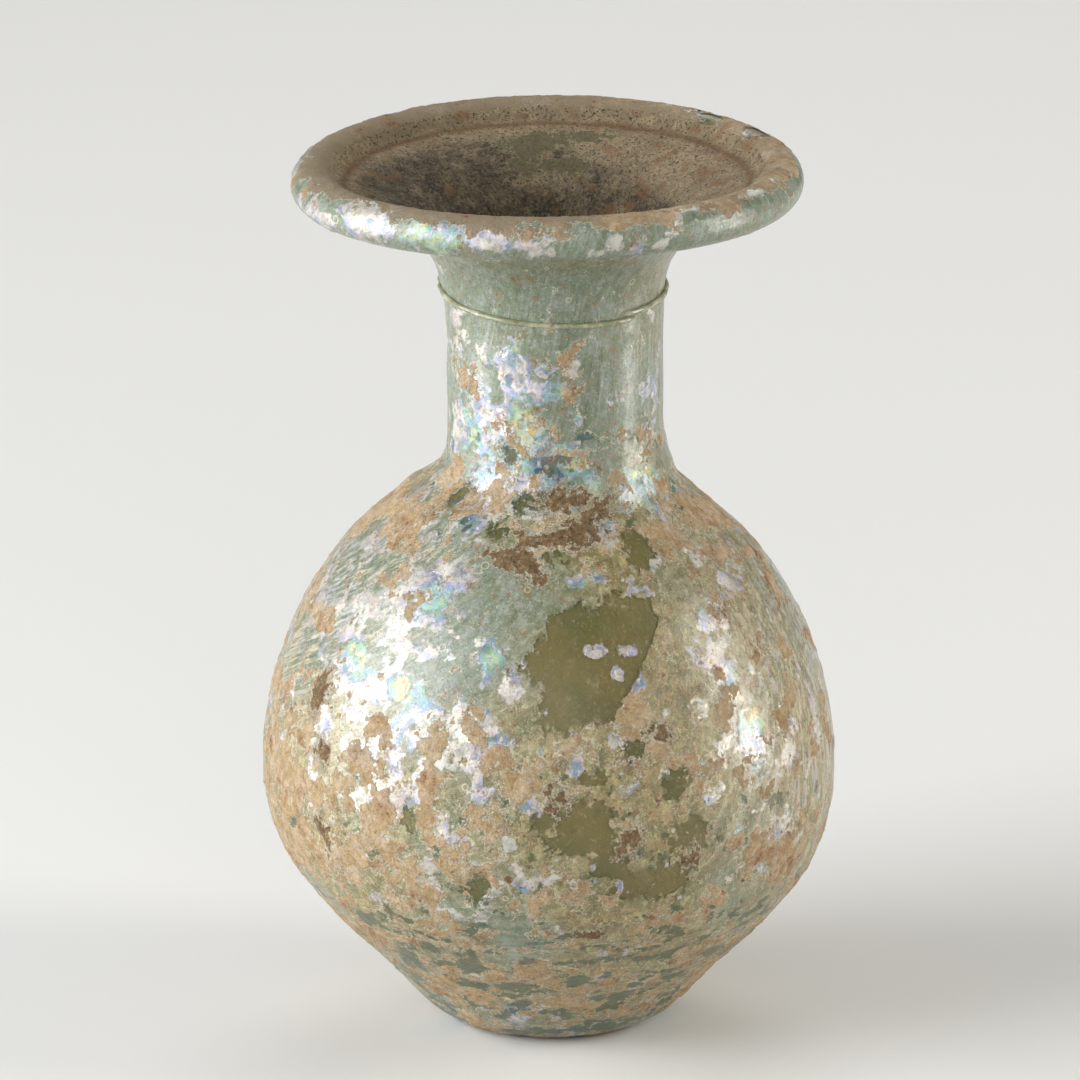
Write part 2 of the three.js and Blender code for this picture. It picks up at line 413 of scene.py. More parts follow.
@dataclass
class Weathering:
    """Where film, pearly flakes, soil and crust lie, and how far they stand off the glass."""

    form: FlaskForm
    seed: int = 11

    bare: list[Patch | Pane] = field(
        default_factory=lambda: [
            Pane(
                (
                    (0, 50.8, 0.9),
                    (10, 51.3, 1.5),
                    (15.5, 53.2, 6),
                    (29.5, 63.4, 4),
                    (29, 65.4, 1.5),
                    (19, 67.2, 0.7),
                    (1, 64.2, 0.7),
                    (-6, 59.5, 0.8),
                )
            ),
            Patch(33.5, 70.7, 2.2, 3.0),
            Patch(18.5, 48, 2.4, 1.8),
            Patch(6, 38.2, 5.6, 4.2),
            Patch(20, 29.8, 6.4, 2.7),
            Patch(13, 33.5, 3.5, 3),
            Patch(29, 36, 3.2, 2.6),
            Patch(-14.5, 29.3, 1.9, 2.2),
            Patch(1.5, 70.7, 1.6, 1.2),
            Patch(-29, 38.4, 0.8, 0.9),
            Patch(10, 44.5, 2.6, 1.2),
            Patch(26, 42.5, 2.2, 2.4),
            Patch(-175, 23, 4.6, 2.4, zone=Zone.FUNNEL),
            Patch(168, 24.4, 3.6, 1.2, zone=Zone.FUNNEL),
            Patch(171, 19.5, 2.8, 1.6, zone=Zone.FUNNEL),
            Patch(-170, 19.5, 1.8, 1.4, zone=Zone.FUNNEL),
        ]
    )
    chips: list[Patch] = field(
        default_factory=lambda: [
            Patch(-17.5, 73.4, 1.5, 1.2),
            Patch(-8, 76.6, 1.6, 1.3),
            Patch(1, 77.2, 1.5, 1.2),
            Patch(-14, 76.5, 1.0, 1.2),
            Patch(-49, 76.2, 1.1, 2.2, lean=-20),
            Patch(134, 103, 2.8, 1.4, zone=Zone.ROLL),
            Patch(117, 86, 3.0, 1.5, zone=Zone.ROLL),
            Patch(-24, 82.5, 0.9, 1.1),
            Patch(-4, 80.5, 1.1, 0.8),
        ]
    )
    veiled: list[Patch] = field(
        default_factory=lambda: [
            Patch(-4, 64, 7.5, 7, lean=30),
            Patch(-18, 69, 4, 3.2),
            Patch(-8, 70, 4, 3),
            Patch(-43.5, 47.9, 2.4, 2.3),
            Patch(-22, 56, 4.5, 4),
            Patch(32, 62.4, 2.4, 2.4),
            Patch(35.5, 55.3, 3, 3),
            Patch(52, 36.9, 3, 3.7),
            Patch(-60, 66, 9, 2.4, lean=48),
            Patch(-36, 71, 5.5, 1.8, lean=42),
            Patch(46, 68, 3, 3),
        ]
    )
    pearly: list[Patch] = field(
        default_factory=lambda: [
            Patch(-34, 78.4, 3.6, 2.4),
            Patch(-44, 65.2, 9.5, 1.7, lean=46),
            Patch(-29, 67.3, 3.4, 2.2, lean=30),
            Patch(-33, 63.6, 3.0, 2.3),
            Patch(-49.5, 57.3, 2.2, 1.6),
            Patch(-35, 54.4, 1.9, 2.2),
            Patch(-42, 55, 2.4, 1.8),
            Patch(-28.5, 51.8, 4, 1.3),
            Patch(-53.5, 45.9, 1.3, 2.2),
            Patch(-33.5, 45.4, 1.6, 2.7),
            Patch(-29, 48.8, 1.3, 1.3),
            Patch(-24, 45.5, 1.6, 1.4),
            Patch(-18.5, 52.5, 1.5, 1.8),
            Patch(-14.5, 60.1, 1.9, 2.4),
            Patch(-8, 56, 1.4, 2.6, lean=-20),
            Patch(23.5, 50.5, 1.4, 1.2),
            Patch(45.5, 43.3, 1.5, 1.8),
            Patch(11.4, 60.3, 1.3, 1.0, weight=2.5),
            Patch(19.4, 60.1, 1.6, 1.2, weight=2.5),
            Patch(15.8, 57.8, 0.8, 1.1, weight=2.5),
            Patch(42.3, 53.7, 0.9, 0.9, weight=2),
            Patch(-42, 86, 2.6, 5),
            Patch(-22, 93, 1.6, 3),
            Patch(-15, 85, 2.4, 2.6),
        ]
    )
    crusted: list[Patch] = field(
        default_factory=lambda: [
            Patch(-11.5, 70.6, 3.0, 1.6, lean=-20),
            Patch(-5.5, 69.3, 1.3, 0.7, lean=-30),
            Patch(-1, 72.8, 3.2, 1.2),
            Patch(9, 73, 3.8, 2.0),
            Patch(7.5, 76.8, 3.4, 1.4),
            Patch(19, 75, 2.0, 1.3),
            Patch(-58, 51.5, 1.8, 2.6),
            Patch(-53, 44, 1.2, 1.6),
            Patch(-52, 33.4, 1.7, 0.9, lean=-25),
            Patch(-50, 31.5, 0.7, 1.2),
            Patch(8.5, 22.4, 1.9, 0.9, weight=2),
            Patch(-8.2, 30.9, 0.5, 0.5, weight=3),
            Patch(16.3, 36.2, 1.0, 1.8, lean=-10),
            Patch(30, 33, 1.1, 1.6),
            Patch(2, 42.4, 1.1, 1.3),
            Patch(24, 50, 1.2, 1.0),
        ]
    )
    soil_share: list[Patch] = field(
        default_factory=lambda: [
            Patch(0, 8, 400, 9, weight=0.42),
            Patch(0, 22, 400, 7, weight=0.06),
            Patch(-45, 33, 18, 9, weight=0.55),
            Patch(-75, 73.4, 10, 5, weight=1.2),
            Patch(-68, 40, 9, 11, weight=0.5),
            Patch(77, 71.5, 9, 5, weight=1.0),
            Patch(62, 27, 13, 8, weight=0.25),
            Patch(70, 45, 16, 22, weight=-0.25),
            Patch(16, 24, 22, 10, weight=-0.3),
            Patch(22, 40, 12, 8, weight=-0.25),
            Patch(8, 31, 14, 7, weight=-0.15),
            Patch(0.5, 46.5, 4.5, 4, weight=0.6),
            Patch(30.5, 46.7, 3, 3.5, weight=0.5),
            Patch(0, 74, 20, 5, weight=-0.2),
            Patch(-16, 36, 5, 6, weight=0.45),
            Patch(-46, 60, 17, 9, weight=-0.75),
            Patch(-5, 62, 12, 9, weight=-1.0),
            Patch(12, 60, 12, 8, weight=-0.8),
            Patch(12, 35, 12, 6, weight=-0.55),
            Patch(60, 58, 14, 12, weight=-0.3),
            Patch(0, 90, 400, 14, weight=-0.55),
            Patch(0, 107, 400, 9, weight=-1.1),
            Patch(-30, 44, 9, 5, weight=0.25),
            Patch(180, 50, 60, 30, weight=0.15),
            Patch(-110, 40, 30, 25, weight=0.2),
            Patch(0, -30, 400, 5, weight=-0.7, zone=Zone.ROLL),
            Patch(5, 25, 11, 2.4, weight=0.8, zone=Zone.ROLL),
            Patch(90, 90, 70, 3.4, weight=0.7, zone=Zone.ROLL),
            Patch(-90, 90, 70, 3.4, weight=0.45, zone=Zone.ROLL),
            Patch(0, 135, 400, 4.5, weight=1.1, zone=Zone.ROLL),
            Patch(-35, 10, 14, 4, weight=-0.6, zone=Zone.ROLL),
            Patch(55, 10, 22, 5, weight=-0.8, zone=Zone.ROLL),
        ]
    )
    pearl_share: list[Patch] = field(
        default_factory=lambda: [
            Patch(-48, 60, 18, 10, weight=0.42),
            Patch(-38, 48, 14, 6, weight=0.5),
            Patch(-20, 52, 8, 6, weight=0.35),
            Patch(-5, 50, 6, 6, weight=0.3),
            Patch(-40, 38, 14, 5, weight=0.25),
            Patch(-36, 88, 9, 12, weight=0.72),
            Patch(-6, 86, 8, 9, weight=0.5),
            Patch(0, 80, 9, 3, weight=0.3),
            Patch(-34, 78, 6, 4, weight=0.9),
            Patch(42, 77, 6, 5, weight=0.9),
            Patch(48, 57, 4, 7, weight=0.3),
            Patch(46, 43, 4, 6, weight=0.45),
            Patch(0, 18, 400, 10, weight=-0.7),
            Patch(10, 60, 9, 8, weight=-0.6),
            Patch(-45, 33, 16, 7, weight=-0.15),
            Patch(75, 45, 14, 25, weight=-0.25),
            Patch(25, 92, 9, 12, weight=-0.8),
            Patch(0, 107, 400, 8, weight=-0.8),
            Patch(3, 60, 12, 9, weight=-0.4),
            Patch(20, 40, 16, 12, weight=-0.35),
            Patch(-28, 20, 16, 3, weight=0.75, zone=Zone.ROLL),
            Patch(-66, 10, 14, 4, weight=0.45, zone=Zone.ROLL),
            Patch(60, 0, 16, 6, weight=-0.8, zone=Zone.ROLL),
        ]
    )
    hues: list[Patch] = field(
        default_factory=lambda: [
            Patch(-33, 64, 4.5, 3, weight=0.42),
            Patch(-49, 57, 4, 2.5, weight=0.5),
            Patch(-35, 54, 3, 3, weight=0.55),
            Patch(-14, 60, 3, 3, weight=0.5),
            Patch(38, 77, 8, 5, weight=0.5),
            Patch(-22, 90, 6, 8, weight=0.28),
            Patch(-4, 86, 7, 8, weight=0.34),
            Patch(-12, 81, 9, 3, weight=0.25),
            Patch(50, 52, 5, 6, weight=0.85),
            Patch(45, 42, 3, 3, weight=0.3),
            Patch(-45, 70, 12, 3, weight=0.2),
            Patch(-20, 20, 10, 4, weight=0.35, zone=Zone.ROLL),
        ]
    )
    warmth: list[Patch] = field(
        default_factory=lambda: [
            Patch(-55, 38, 22, 16, weight=0.5),
            Patch(0, 10, 400, 12, weight=0.2),
            Patch(70, 35, 22, 22, weight=0.35),
            Patch(35, 60, 16, 18, weight=0.5),
            Patch(12, 42, 14, 18, weight=0.55),
            Patch(30, 92, 9, 12, weight=0.15),
            Patch(0, 74, 30, 6, weight=0.3),
            Patch(-35, 62, 18, 12, weight=-0.5),
            Patch(0, 86, 10, 9, weight=-0.8),
            Patch(-5, 104, 14, 6, weight=-0.35),
            Patch(0, 0, 400, 6, weight=-0.3, zone=Zone.ROLL),
            Patch(10, 14, 400, 9, weight=0.2),
        ]
    )

    wisps: list[Patch] = field(
        default_factory=lambda: [
            Patch(-62, 62, 16, 11, weight=1.0),
            Patch(-36, 69, 8, 4, weight=0.6),
            Patch(68, 48, 15, 26, weight=0.75),
            Patch(-75, 45, 12, 14, weight=0.5),
            Patch(150, 50, 60, 30, weight=0.4),
            Patch(-150, 50, 50, 30, weight=0.4),
        ]
    )
    # Darker grey-brown soil on the left and back of the rim's top and in two spots on the body. The funnel patches are
    # painted light: the mouth crust turns sandy and lighter there, most on the funnel's right side, where light falls.
    umber_and_lit_funnel: list[Patch] = field(
        default_factory=lambda: [
            Patch(-75, 85, 45, 5, weight=0.9, zone=Zone.ROLL),
            Patch(-140, 85, 30, 5, weight=0.6, zone=Zone.ROLL),
            Patch(-20, 80, 18, 4, weight=0.5, zone=Zone.ROLL),
            Patch(-90, 135, 60, 3, weight=0.5, zone=Zone.ROLL),
            Patch(100, 23, 30, 9, weight=1.0, zone=Zone.FUNNEL),
            Patch(180, 27, 30, 4, weight=0.5, zone=Zone.FUNNEL),
            Patch(-120, 27, 40, 2.5, weight=0.5, zone=Zone.FUNNEL),
            Patch(-57, 50, 3, 4, weight=0.9),
            Patch(-44, 46, 5, 2, weight=0.5),
        ]
    )

    def __post_init__(self) -> None:
        """Draws one noise for each layer."""
        self.noises = {
            name: Lattice(self.seed + number)
            for number, name in enumerate(("soil", "pearl", "film", "hue", "lump", "pit", "stain"))
        }

    def noise(self, name: str, place: np.ndarray, size: float, layers: int = 5) -> np.ndarray:
        """The named layer's noise."""
        return self.noises[name].layered(place, size, layers)

    def levels(self, skin: Skin) -> Fields:
        """How strongly each layer lies at each point.

        Args:
            skin: the points.

        Returns:
            Levels in about millimetres from the layer's edge, and tints from -1 to 1.
        """
        form = self.form
        place = skin.place
        flat = place * (0.65, 0.65, 1.35)
        low = ease(28 - skin.height, 0, 14)[:, None]
        bedded = place * (1 - low) + flat * low
        bare = furthest_in(self.bare, skin, form)
        chip = furthest_in(self.chips, skin, form)
        veil = furthest_in(self.veiled, skin, form)
        pearl = furthest_in(self.pearly, skin, form)
        crust = furthest_in(self.crusted, skin, form)
        ragged = self.noise("film", place, 4.2, 5)
        bare += 0.9 * ragged - 2.6 * ease(self.noise("lump", place, 3.6, 3), 0.15, 0.6) * ease(50 - skin.height, 0, 4)
        chip += 0.35 * ragged
        crust += 0.9 * self.noise("lump", place, 2.6, 4)
        soil = 3.2 * (summed(self.soil_share, skin, form) - 0.24 + 1.25 * self.noise("soil", bedded, 6, 6))
        field_pearl = 3.0 * (summed(self.pearl_share, skin, form) - 0.42 + 1.3 * self.noise("pearl", place, 5, 6))
        clear = np.maximum(bare, chip)
        veil = veil + 0.8 * self.noise("film", place, 3, 4)
        soil = np.minimum(soil, -0.8 * veil + 0.4)
        soil = np.minimum(soil, -1.6 * clear)
        field_pearl = np.minimum(field_pearl, np.minimum(-1.4 * clear, -1.2 * veil + 0.6))
        pearl = np.maximum(pearl + 0.9 * ragged, field_pearl)
        gaps = 3.0 * (self.noise("pit", bedded, 3.6, 5) - 0.66 + 0.5 * ease(26 - skin.height, 0, 8))
        gaps -= 5 * ease(skin.height, 44, 50) * (1 - ease(skin.height, 70, 72)) + 3 * ease(skin.height, 84, 90)
        soil = np.minimum(soil, -1.5 * gaps)
        hue = 0.1 + summed(self.hues, skin, form) + 0.42 * self.noise("hue", place, 7, 3)
        return {
            "bare": np.clip(clear, -4, 4),
            "deep": np.clip(np.maximum(chip + 0.3, gaps), -4, 4),
            "soil": np.clip(soil, -4, 4),
            "pearl": np.clip(pearl, -4, 4),
            "crust": np.clip(crust, -4, 4),
            "hue": hue,
            "wisp": summed(self.wisps, skin, form),
            "umber_and_lit_funnel": summed(self.umber_and_lit_funnel, skin, form) + 0.3 * self.noise("stain", place, 5, 3),
            # A band along the groove where the rim turns into the funnel. The mouth crust paints a darker ochre line
            # there, partly deposit and partly painted shade of the crease.
            "groove": np.exp(-(((skin.along - form.inner_range[0] + 0.2 * ragged) / 0.55) ** 2)),
            "warm": summed(self.warmth, skin, form) + 0.25 * self.noise("hue", place, 14, 2),
            "stain": self.noise("stain", place, 3.4, 4) + 0.15 * ease(skin.turn, 20, 60),
        }

    def relief(self, skin: Skin, levels: Fields) -> np.ndarray:
        """How far the weathered surface stands off the glass, in millimetres."""
        lumps = self.noise("lump", skin.place, 1.9, 4)
        fine = self.noise("pit", skin.place, 0.9, 2)
        film = 0.05 * ease(-levels["bare"], -0.2, 0.5) * ease(-levels["deep"], -0.2, 0.5)
        flake = 0.05 * ease(levels["pearl"], -0.1, 0.25) * (1 + 0.5 * fine)
        soil = ease(levels["soil"], -0.15, 0.6) * (0.1 + 0.07 * lumps + 0.05 * fine)
        crust = ease(levels["crust"], -0.1, 0.9) * (0.3 + 0.24 * lumps + 0.1 * fine)
        return 0.015 + film + flake + np.maximum(soil, 0) + np.maximum(crust, 0)

    def looseness(self, skin: Skin, levels: Fields) -> np.ndarray:
        """How thickly loose grains lie at each point: on soil, but not at the flask's widest reach."""
        free = 1 - ease(skin.radius, 37.2, 37.8)
        off_top = 1 - ease(skin.height, 118.6, 119.2)
        clumps = ease(self.noise("soil", skin.place, 3, 3), 0.1, 0.6)
        return ease(levels["soil"], 0.1, 1.2) * clumps * free * off_top * ease(skin.height, 1.2, 2.2)


# ---------------------------------------------------------------- node trees


class Bench:
    """A node tree with short calls that place and join its nodes."""

    def __init__(self, tree: bpy.types.NodeTree) -> None:
        """Takes the tree to work on."""
        self.tree = tree

    def put(self, kind: str, inputs: dict[str | int, Value] | None = None, **settings: object) -> bpy.types.Node:
        """Places a node.

        Args:
            kind: the node's type name.
            inputs: for each input's name or number, the value or the socket to join to it.
            settings: the node's own settings.

        Returns:
            The node.
        """
        node = self.tree.nodes.new(kind)
        for name, value in settings.items():
            setattr(node, name, value)
        for name, value in (inputs or {}).items():
            if isinstance(value, bpy.types.NodeSocket):
                self.tree.links.new(value, node.inputs[name])
            else:
                node.inputs[name].default_value = value
        return node

    def maths(self, operation: str, *values: Value, clamp: bool = False) -> bpy.types.NodeSocket:
        """The result of a sum on numbers."""
        return self.put("ShaderNodeMath", dict(enumerate(values)), operation=operation, use_clamp=clamp).outputs[0]

    def scaled(self, vector: bpy.types.NodeSocket, by: tuple[float, float, float]) -> bpy.types.NodeSocket:
        """A vector stretched along each axis."""
        return self.put("ShaderNodeVectorMath", {0: vector, 1: by}, operation="MULTIPLY").outputs[0]

    def rise(self, value: Value, low: Value, high: Value, start: Value = 0.0, end: Value = 1.0) -> bpy.types.NodeSocket:
        """A smooth rise from start at low to end at high."""
        inputs = {"Value": value, "From Min": low, "From Max": high, "To Min": start, "To Max": end}
        return self.put("ShaderNodeMapRange", inputs, interpolation_type="SMOOTHSTEP").outputs[0]

    def blend(self, share: Value, first: Value, second: Value, mode: str = "MIX") -> bpy.types.NodeSocket:
        """Two colours mixed by a share."""
        node = self.put("ShaderNodeMix", {0: share, 6: first, 7: second}, data_type="RGBA", blend_type=mode)
        return node.outputs[2]

    def ramp(self, value: Value, stops: list[tuple[float, Colour]]) -> bpy.types.NodeSocket:
        """A colour that passes through several stops as a value goes from 0 to 1."""
        node = self.put("ShaderNodeValToRGB", {0: value})
        elements = node.color_ramp.elements
        while len(elements) < len(stops):
            elements.new(0.5)
        for element, (spot, colour) in zip(elements, stops):
            element.position = spot
            element.color = colour
        return node.outputs[0]

    def noise(self, place: bpy.types.NodeSocket, scale: Value, detail: float = 3, rough: float = 0.6) -> bpy.types.Node:
        """Smooth noise, from 0 to 1."""
        inputs = {"Vector": place, "Scale": scale, "Detail": detail, "Roughness": rough}
        return self.put("ShaderNodeTexNoise", inputs)

    def named(self, attribute: str, output: str = "Fac") -> bpy.types.NodeSocket:
        """A value kept on the mesh's points."""
        return self.put("ShaderNodeAttribute", attribute_name=attribute).outputs[output]

    def millimetres(self) -> bpy.types.NodeSocket:
        """The place on the piece, in millimetres."""
        place = self.put("ShaderNodeTexCoord").outputs["Object"]
        return self.put("ShaderNodeVectorMath", {0: place, "Scale": 1000.0}, operation="SCALE").outputs[0]


def make_group(name: str, kind: str, inputs: dict[str, str], outputs: dict[str, str]) -> tuple:
    """An empty node group with its sockets.

    Args:
        name: the group's name.
        kind: the tree's type.
        inputs: socket types, such as Float, for each input's name.
        outputs: socket types for each output's name.

    Returns:
        The group, a bench on it, its inputs' sockets by name and its output node.
    """
    group = bpy.data.node_groups.new(name, kind)
    for way, sockets in (("INPUT", inputs), ("OUTPUT", outputs)):
        for socket, sort in sockets.items():
            group.interface.new_socket(name=socket, in_out=way, socket_type="NodeSocket" + sort)
    bench = Bench(group)
    given = bench.put("NodeGroupInput").outputs
    return group, bench, given, bench.put("NodeGroupOutput")


class Effects:
    """The shader effects that several finishes share."""

    def __init__(self) -> None:
        """Builds each group once."""
        self.ragged = self.ragged_edge()
        self.mottle = self.mottled()
        self.flake = self.flakes()
        self.pearl = self.pearl_colours()
        self.terrace = self.terraces()
        self.mosaic = self.mosaics()

    @staticmethod
    def ragged_edge() -> bpy.types.NodeTree:
        """A layer's mask: where its level is above nought, with a crumbled edge."""
        sockets = {"Place": "Vector", "Level": "Float", "Wobble": "Float", "Scale": "Float", "Softness": "Float"}
        group, bench, given, result = make_group("ragged edge", "ShaderNodeTree", sockets, {"Mask": "Float"})
        crumble = bench.noise(given["Place"], given["Scale"], 6, 0.72).outputs[0]
        pushed = bench.maths("MULTIPLY", bench.maths("SUBTRACT", crumble, 0.5), given["Wobble"])
        level = bench.maths("ADD", given["Level"], pushed)
        soft = given["Softness"]
        mask = bench.rise(level, bench.maths("MULTIPLY", soft, -1.0), soft)
        bench.tree.links.new(mask, result.inputs["Mask"])
        return group

    @staticmethod
    def mottled() -> bpy.types.NodeTree:
        """Three colours in blotches with fine grains of the dark and the light one."""
        sockets = {"Place": "Vector", "Scale": "Float", "Dark": "Color", "Middle": "Color", "Light": "Color"}
        group, bench, given, result = make_group("mottled", "ShaderNodeTree", sockets, {"Color": "Color"})
        blotch = bench.noise(given["Place"], given["Scale"], 6, 0.72).outputs[0]
        fine_scale = bench.maths("MULTIPLY", given["Scale"], 4.3)
        grain = bench.noise(given["Place"], fine_scale, 3, 0.6).outputs[0]
        tone = bench.maths("ADD", blotch, bench.maths("MULTIPLY", bench.maths("SUBTRACT", grain, 0.5), 0.55))
        low = bench.blend(bench.rise(tone, 0.3, 0.47), given["Dark"], given["Middle"])
        colour = bench.blend(bench.rise(tone, 0.5, 0.72), low, given["Light"])
        bench.tree.links.new(colour, result.inputs["Color"])
        return group

    @staticmethod
    def flakes() -> bpy.types.NodeTree:
        """Flakes of glass skin: a number, a tilt and the edge line of each."""
        sockets = {"Place": "Vector", "Scale": "Float", "Warp": "Float"}
        outputs = {"Number": "Float", "Tilt": "Vector", "Edge": "Float"}
        group, bench, given, result = make_group("flakes", "ShaderNodeTree", sockets, outputs)
        wander = bench.noise(given["Place"], bench.maths("MULTIPLY", given["Scale"], 1.6), 4, 0.65).outputs["Color"]
        centred = bench.put("ShaderNodeVectorMath", {0: wander, 1: (0.5, 0.5, 0.5)}, operation="SUBTRACT")
        push = bench.put("ShaderNodeVectorMath", {0: centred.outputs[0], "Scale": given["Warp"]}, operation="SCALE")
        warped = bench.put("ShaderNodeVectorMath", {0: given["Place"], 1: push.outputs[0]}, operation="ADD").outputs[0]
        cell = bench.put("ShaderNodeTexVoronoi", {"Vector": warped, "Scale": given["Scale"]}, feature="F1")
        rim = bench.put("ShaderNodeTexVoronoi", {"Vector": warped, "Scale": given["Scale"]}, feature="DISTANCE_TO_EDGE")
        number = bench.put("ShaderNodeSeparateColor", {0: cell.outputs["Color"]}).outputs[0]
        tilt = bench.put("ShaderNodeVectorMath", {0: cell.outputs["Color"], 1: (0.5, 0.5, 0.5)}, operation="SUBTRACT")
        bench.tree.links.new(number, result.inputs["Number"])
        bench.tree.links.new(tilt.outputs[0], result.inputs["Tilt"])
        bench.tree.links.new(bench.rise(rim.outputs["Distance"], 0.0, 0.07, 1.0, 0.0), result.inputs["Edge"])
        return group

    @staticmethod
    def mosaics() -> bpy.types.NodeTree:
        """A mosaic of small ragged bits: a number from 0 to 1 for the bit at each place."""
        sockets = {"Place": "Vector", "Scale": "Float", "Warp": "Float"}
        group, bench, given, result = make_group("mosaic", "ShaderNodeTree", sockets, {"Number": "Float"})
        fine_scale = bench.maths("MULTIPLY", given["Scale"], 2.7)
        wander = bench.noise(given["Place"], fine_scale, 3, 0.7).outputs["Color"]
        centred = bench.put("ShaderNodeVectorMath", {0: wander, 1: (0.5, 0.5, 0.5)}, operation="SUBTRACT")
        push = bench.put("ShaderNodeVectorMath", {0: centred.outputs[0], "Scale": given["Warp"]}, operation="SCALE")
        warped = bench.put("ShaderNodeVectorMath", {0: given["Place"], 1: push.outputs[0]}, operation="ADD").outputs[0]
        coarse = bench.put("ShaderNodeTexVoronoi", {"Vector": warped, "Scale": given["Scale"]}, feature="F1")
        fine = bench.put("ShaderNodeTexVoronoi", {"Vector": warped, "Scale": fine_scale}, feature="F1")
        first = bench.put("ShaderNodeSeparateColor", {0: coarse.outputs["Color"]}).outputs[0]
        second = bench.put("ShaderNodeSeparateColor", {0: fine.outputs["Color"]}).outputs[0]
        number = bench.maths("ADD", bench.maths("MULTIPLY", first, 0.6), bench.maths("MULTIPLY", second, 0.4))
        bench.tree.links.new(number, result.inputs["Number"])
        return group

    @staticmethod
    def terraces() -> bpy.types.NodeTree:
        """Thin layers that peel back one behind another: each one's number, edge line and depth."""
        sockets = {"Place": "Vector", "Level": "Float", "Steps": "Float", "Wobble": "Float", "Scale": "Float"}
        outputs = {"Number": "Float", "Edge": "Float", "Depth": "Float"}
        group, bench, given, result = make_group("terraces", "ShaderNodeTree", sockets, outputs)
        wander = bench.noise(given["Place"], given["Scale"], 6, 0.68).outputs[0]
        pushed = bench.maths("MULTIPLY", bench.maths("SUBTRACT", wander, 0.5), given["Wobble"])
        level = bench.maths("MULTIPLY", bench.maths("ADD", bench.maths("MULTIPLY", given["Level"], 0.5), pushed), given["Steps"])
        whole = bench.maths("FLOOR", level)
        part = bench.maths("FRACT", level)
        number = bench.put("ShaderNodeTexWhiteNoise", {"W": whole}, noise_dimensions="1D").outputs["Value"]
        edge = bench.rise(part, 0.0, 0.09, 1.0, 0.0)
        depth = bench.maths("ADD", whole, bench.rise(part, 0.0, 0.12))
        for name, value in (("Number", number), ("Edge", edge), ("Depth", depth)):
            bench.tree.links.new(value, result.inputs[name])
        return group

    @staticmethod
    def pearl_colours() -> bpy.types.NodeTree:
        """The colours that a thin flaking film shows as it gets thicker."""
        group, bench, given, result = make_group("pearl colours", "ShaderNodeTree", {"Phase": "Float"}, {"Color": "Color"})
        stops = [
            (0.0, paint(196, 192, 182)),
            (0.12, paint(200, 182, 168)),
            (0.24, paint(176, 170, 192)),
            (0.36, paint(112, 130, 166)),
            (0.48, paint(106, 156, 160)),
            (0.6, paint(128, 172, 138)),
            (0.74, paint(198, 192, 122)),
            (0.86, paint(200, 148, 84)),
            (1.0, paint(206, 202, 186)),
        ]
        bench.tree.links.new(bench.ramp(given["Phase"], stops), result.inputs["Color"])
        return group


# ---------------------------------------------------------------- finishes


def new_finish(name: str) -> tuple[bpy.types.Material, Bench, bpy.types.Node]:
    """An empty material with its shader.

    Args:
        name: the material's name.

    Returns:
        The material, a bench on its tree and its Principled shader.
    """
    material = bpy.data.materials.new(name)
    material.use_nodes = True
    material.node_tree.nodes.clear()
    bench = Bench(material.node_tree)
    shader = bench.put("ShaderNodeBsdfPrincipled")
    bench.put("ShaderNodeOutputMaterial", {"Surface": shader.outputs[0]})
    return material, bench, shader


@dataclass(frozen=True)
class OldGlass:
    """The flask's own green glass, dulled all through its surface."""

    deep: Colour = paint(126, 126, 70)
    thin: Colour = paint(156, 142, 82)
    clouded: Colour = paint(150, 148, 108)
    see_through: float = 0.5

    def build(self) -> bpy.types.Material:
        """Makes the material."""
        material, bench, shader = new_finish("old_glass")
        place = bench.millimetres()
        broad = bench.noise(place, 0.07, 2, 0.5).outputs[0]
        cloud = bench.noise(place, 0.5, 6, 0.7).outputs[0]
        colour = bench.blend(bench.rise(broad, 0.4, 0.6), self.deep, self.thin)
        colour = bench.blend(bench.rise(cloud, 0.5, 0.8, 0.0, 0.35), colour, self.clouded)
        height = bench.maths("MULTIPLY", cloud, 0.03)
        bump = bench.put("ShaderNodeBump", {"Strength": 1.0, "Distance": 0.001, "Height": height})
        for name, value in (
            ("Base Color", colour),
            ("Roughness", bench.rise(cloud, 0.3, 0.75, 0.3, 0.5)),
            ("Normal", bump.outputs[0]),
        ):
            bench.tree.links.new(value, shader.inputs[name])
        shader.inputs["Transmission Weight"].default_value = self.see_through
        shader.inputs["IOR"].default_value = 1.5
        return material


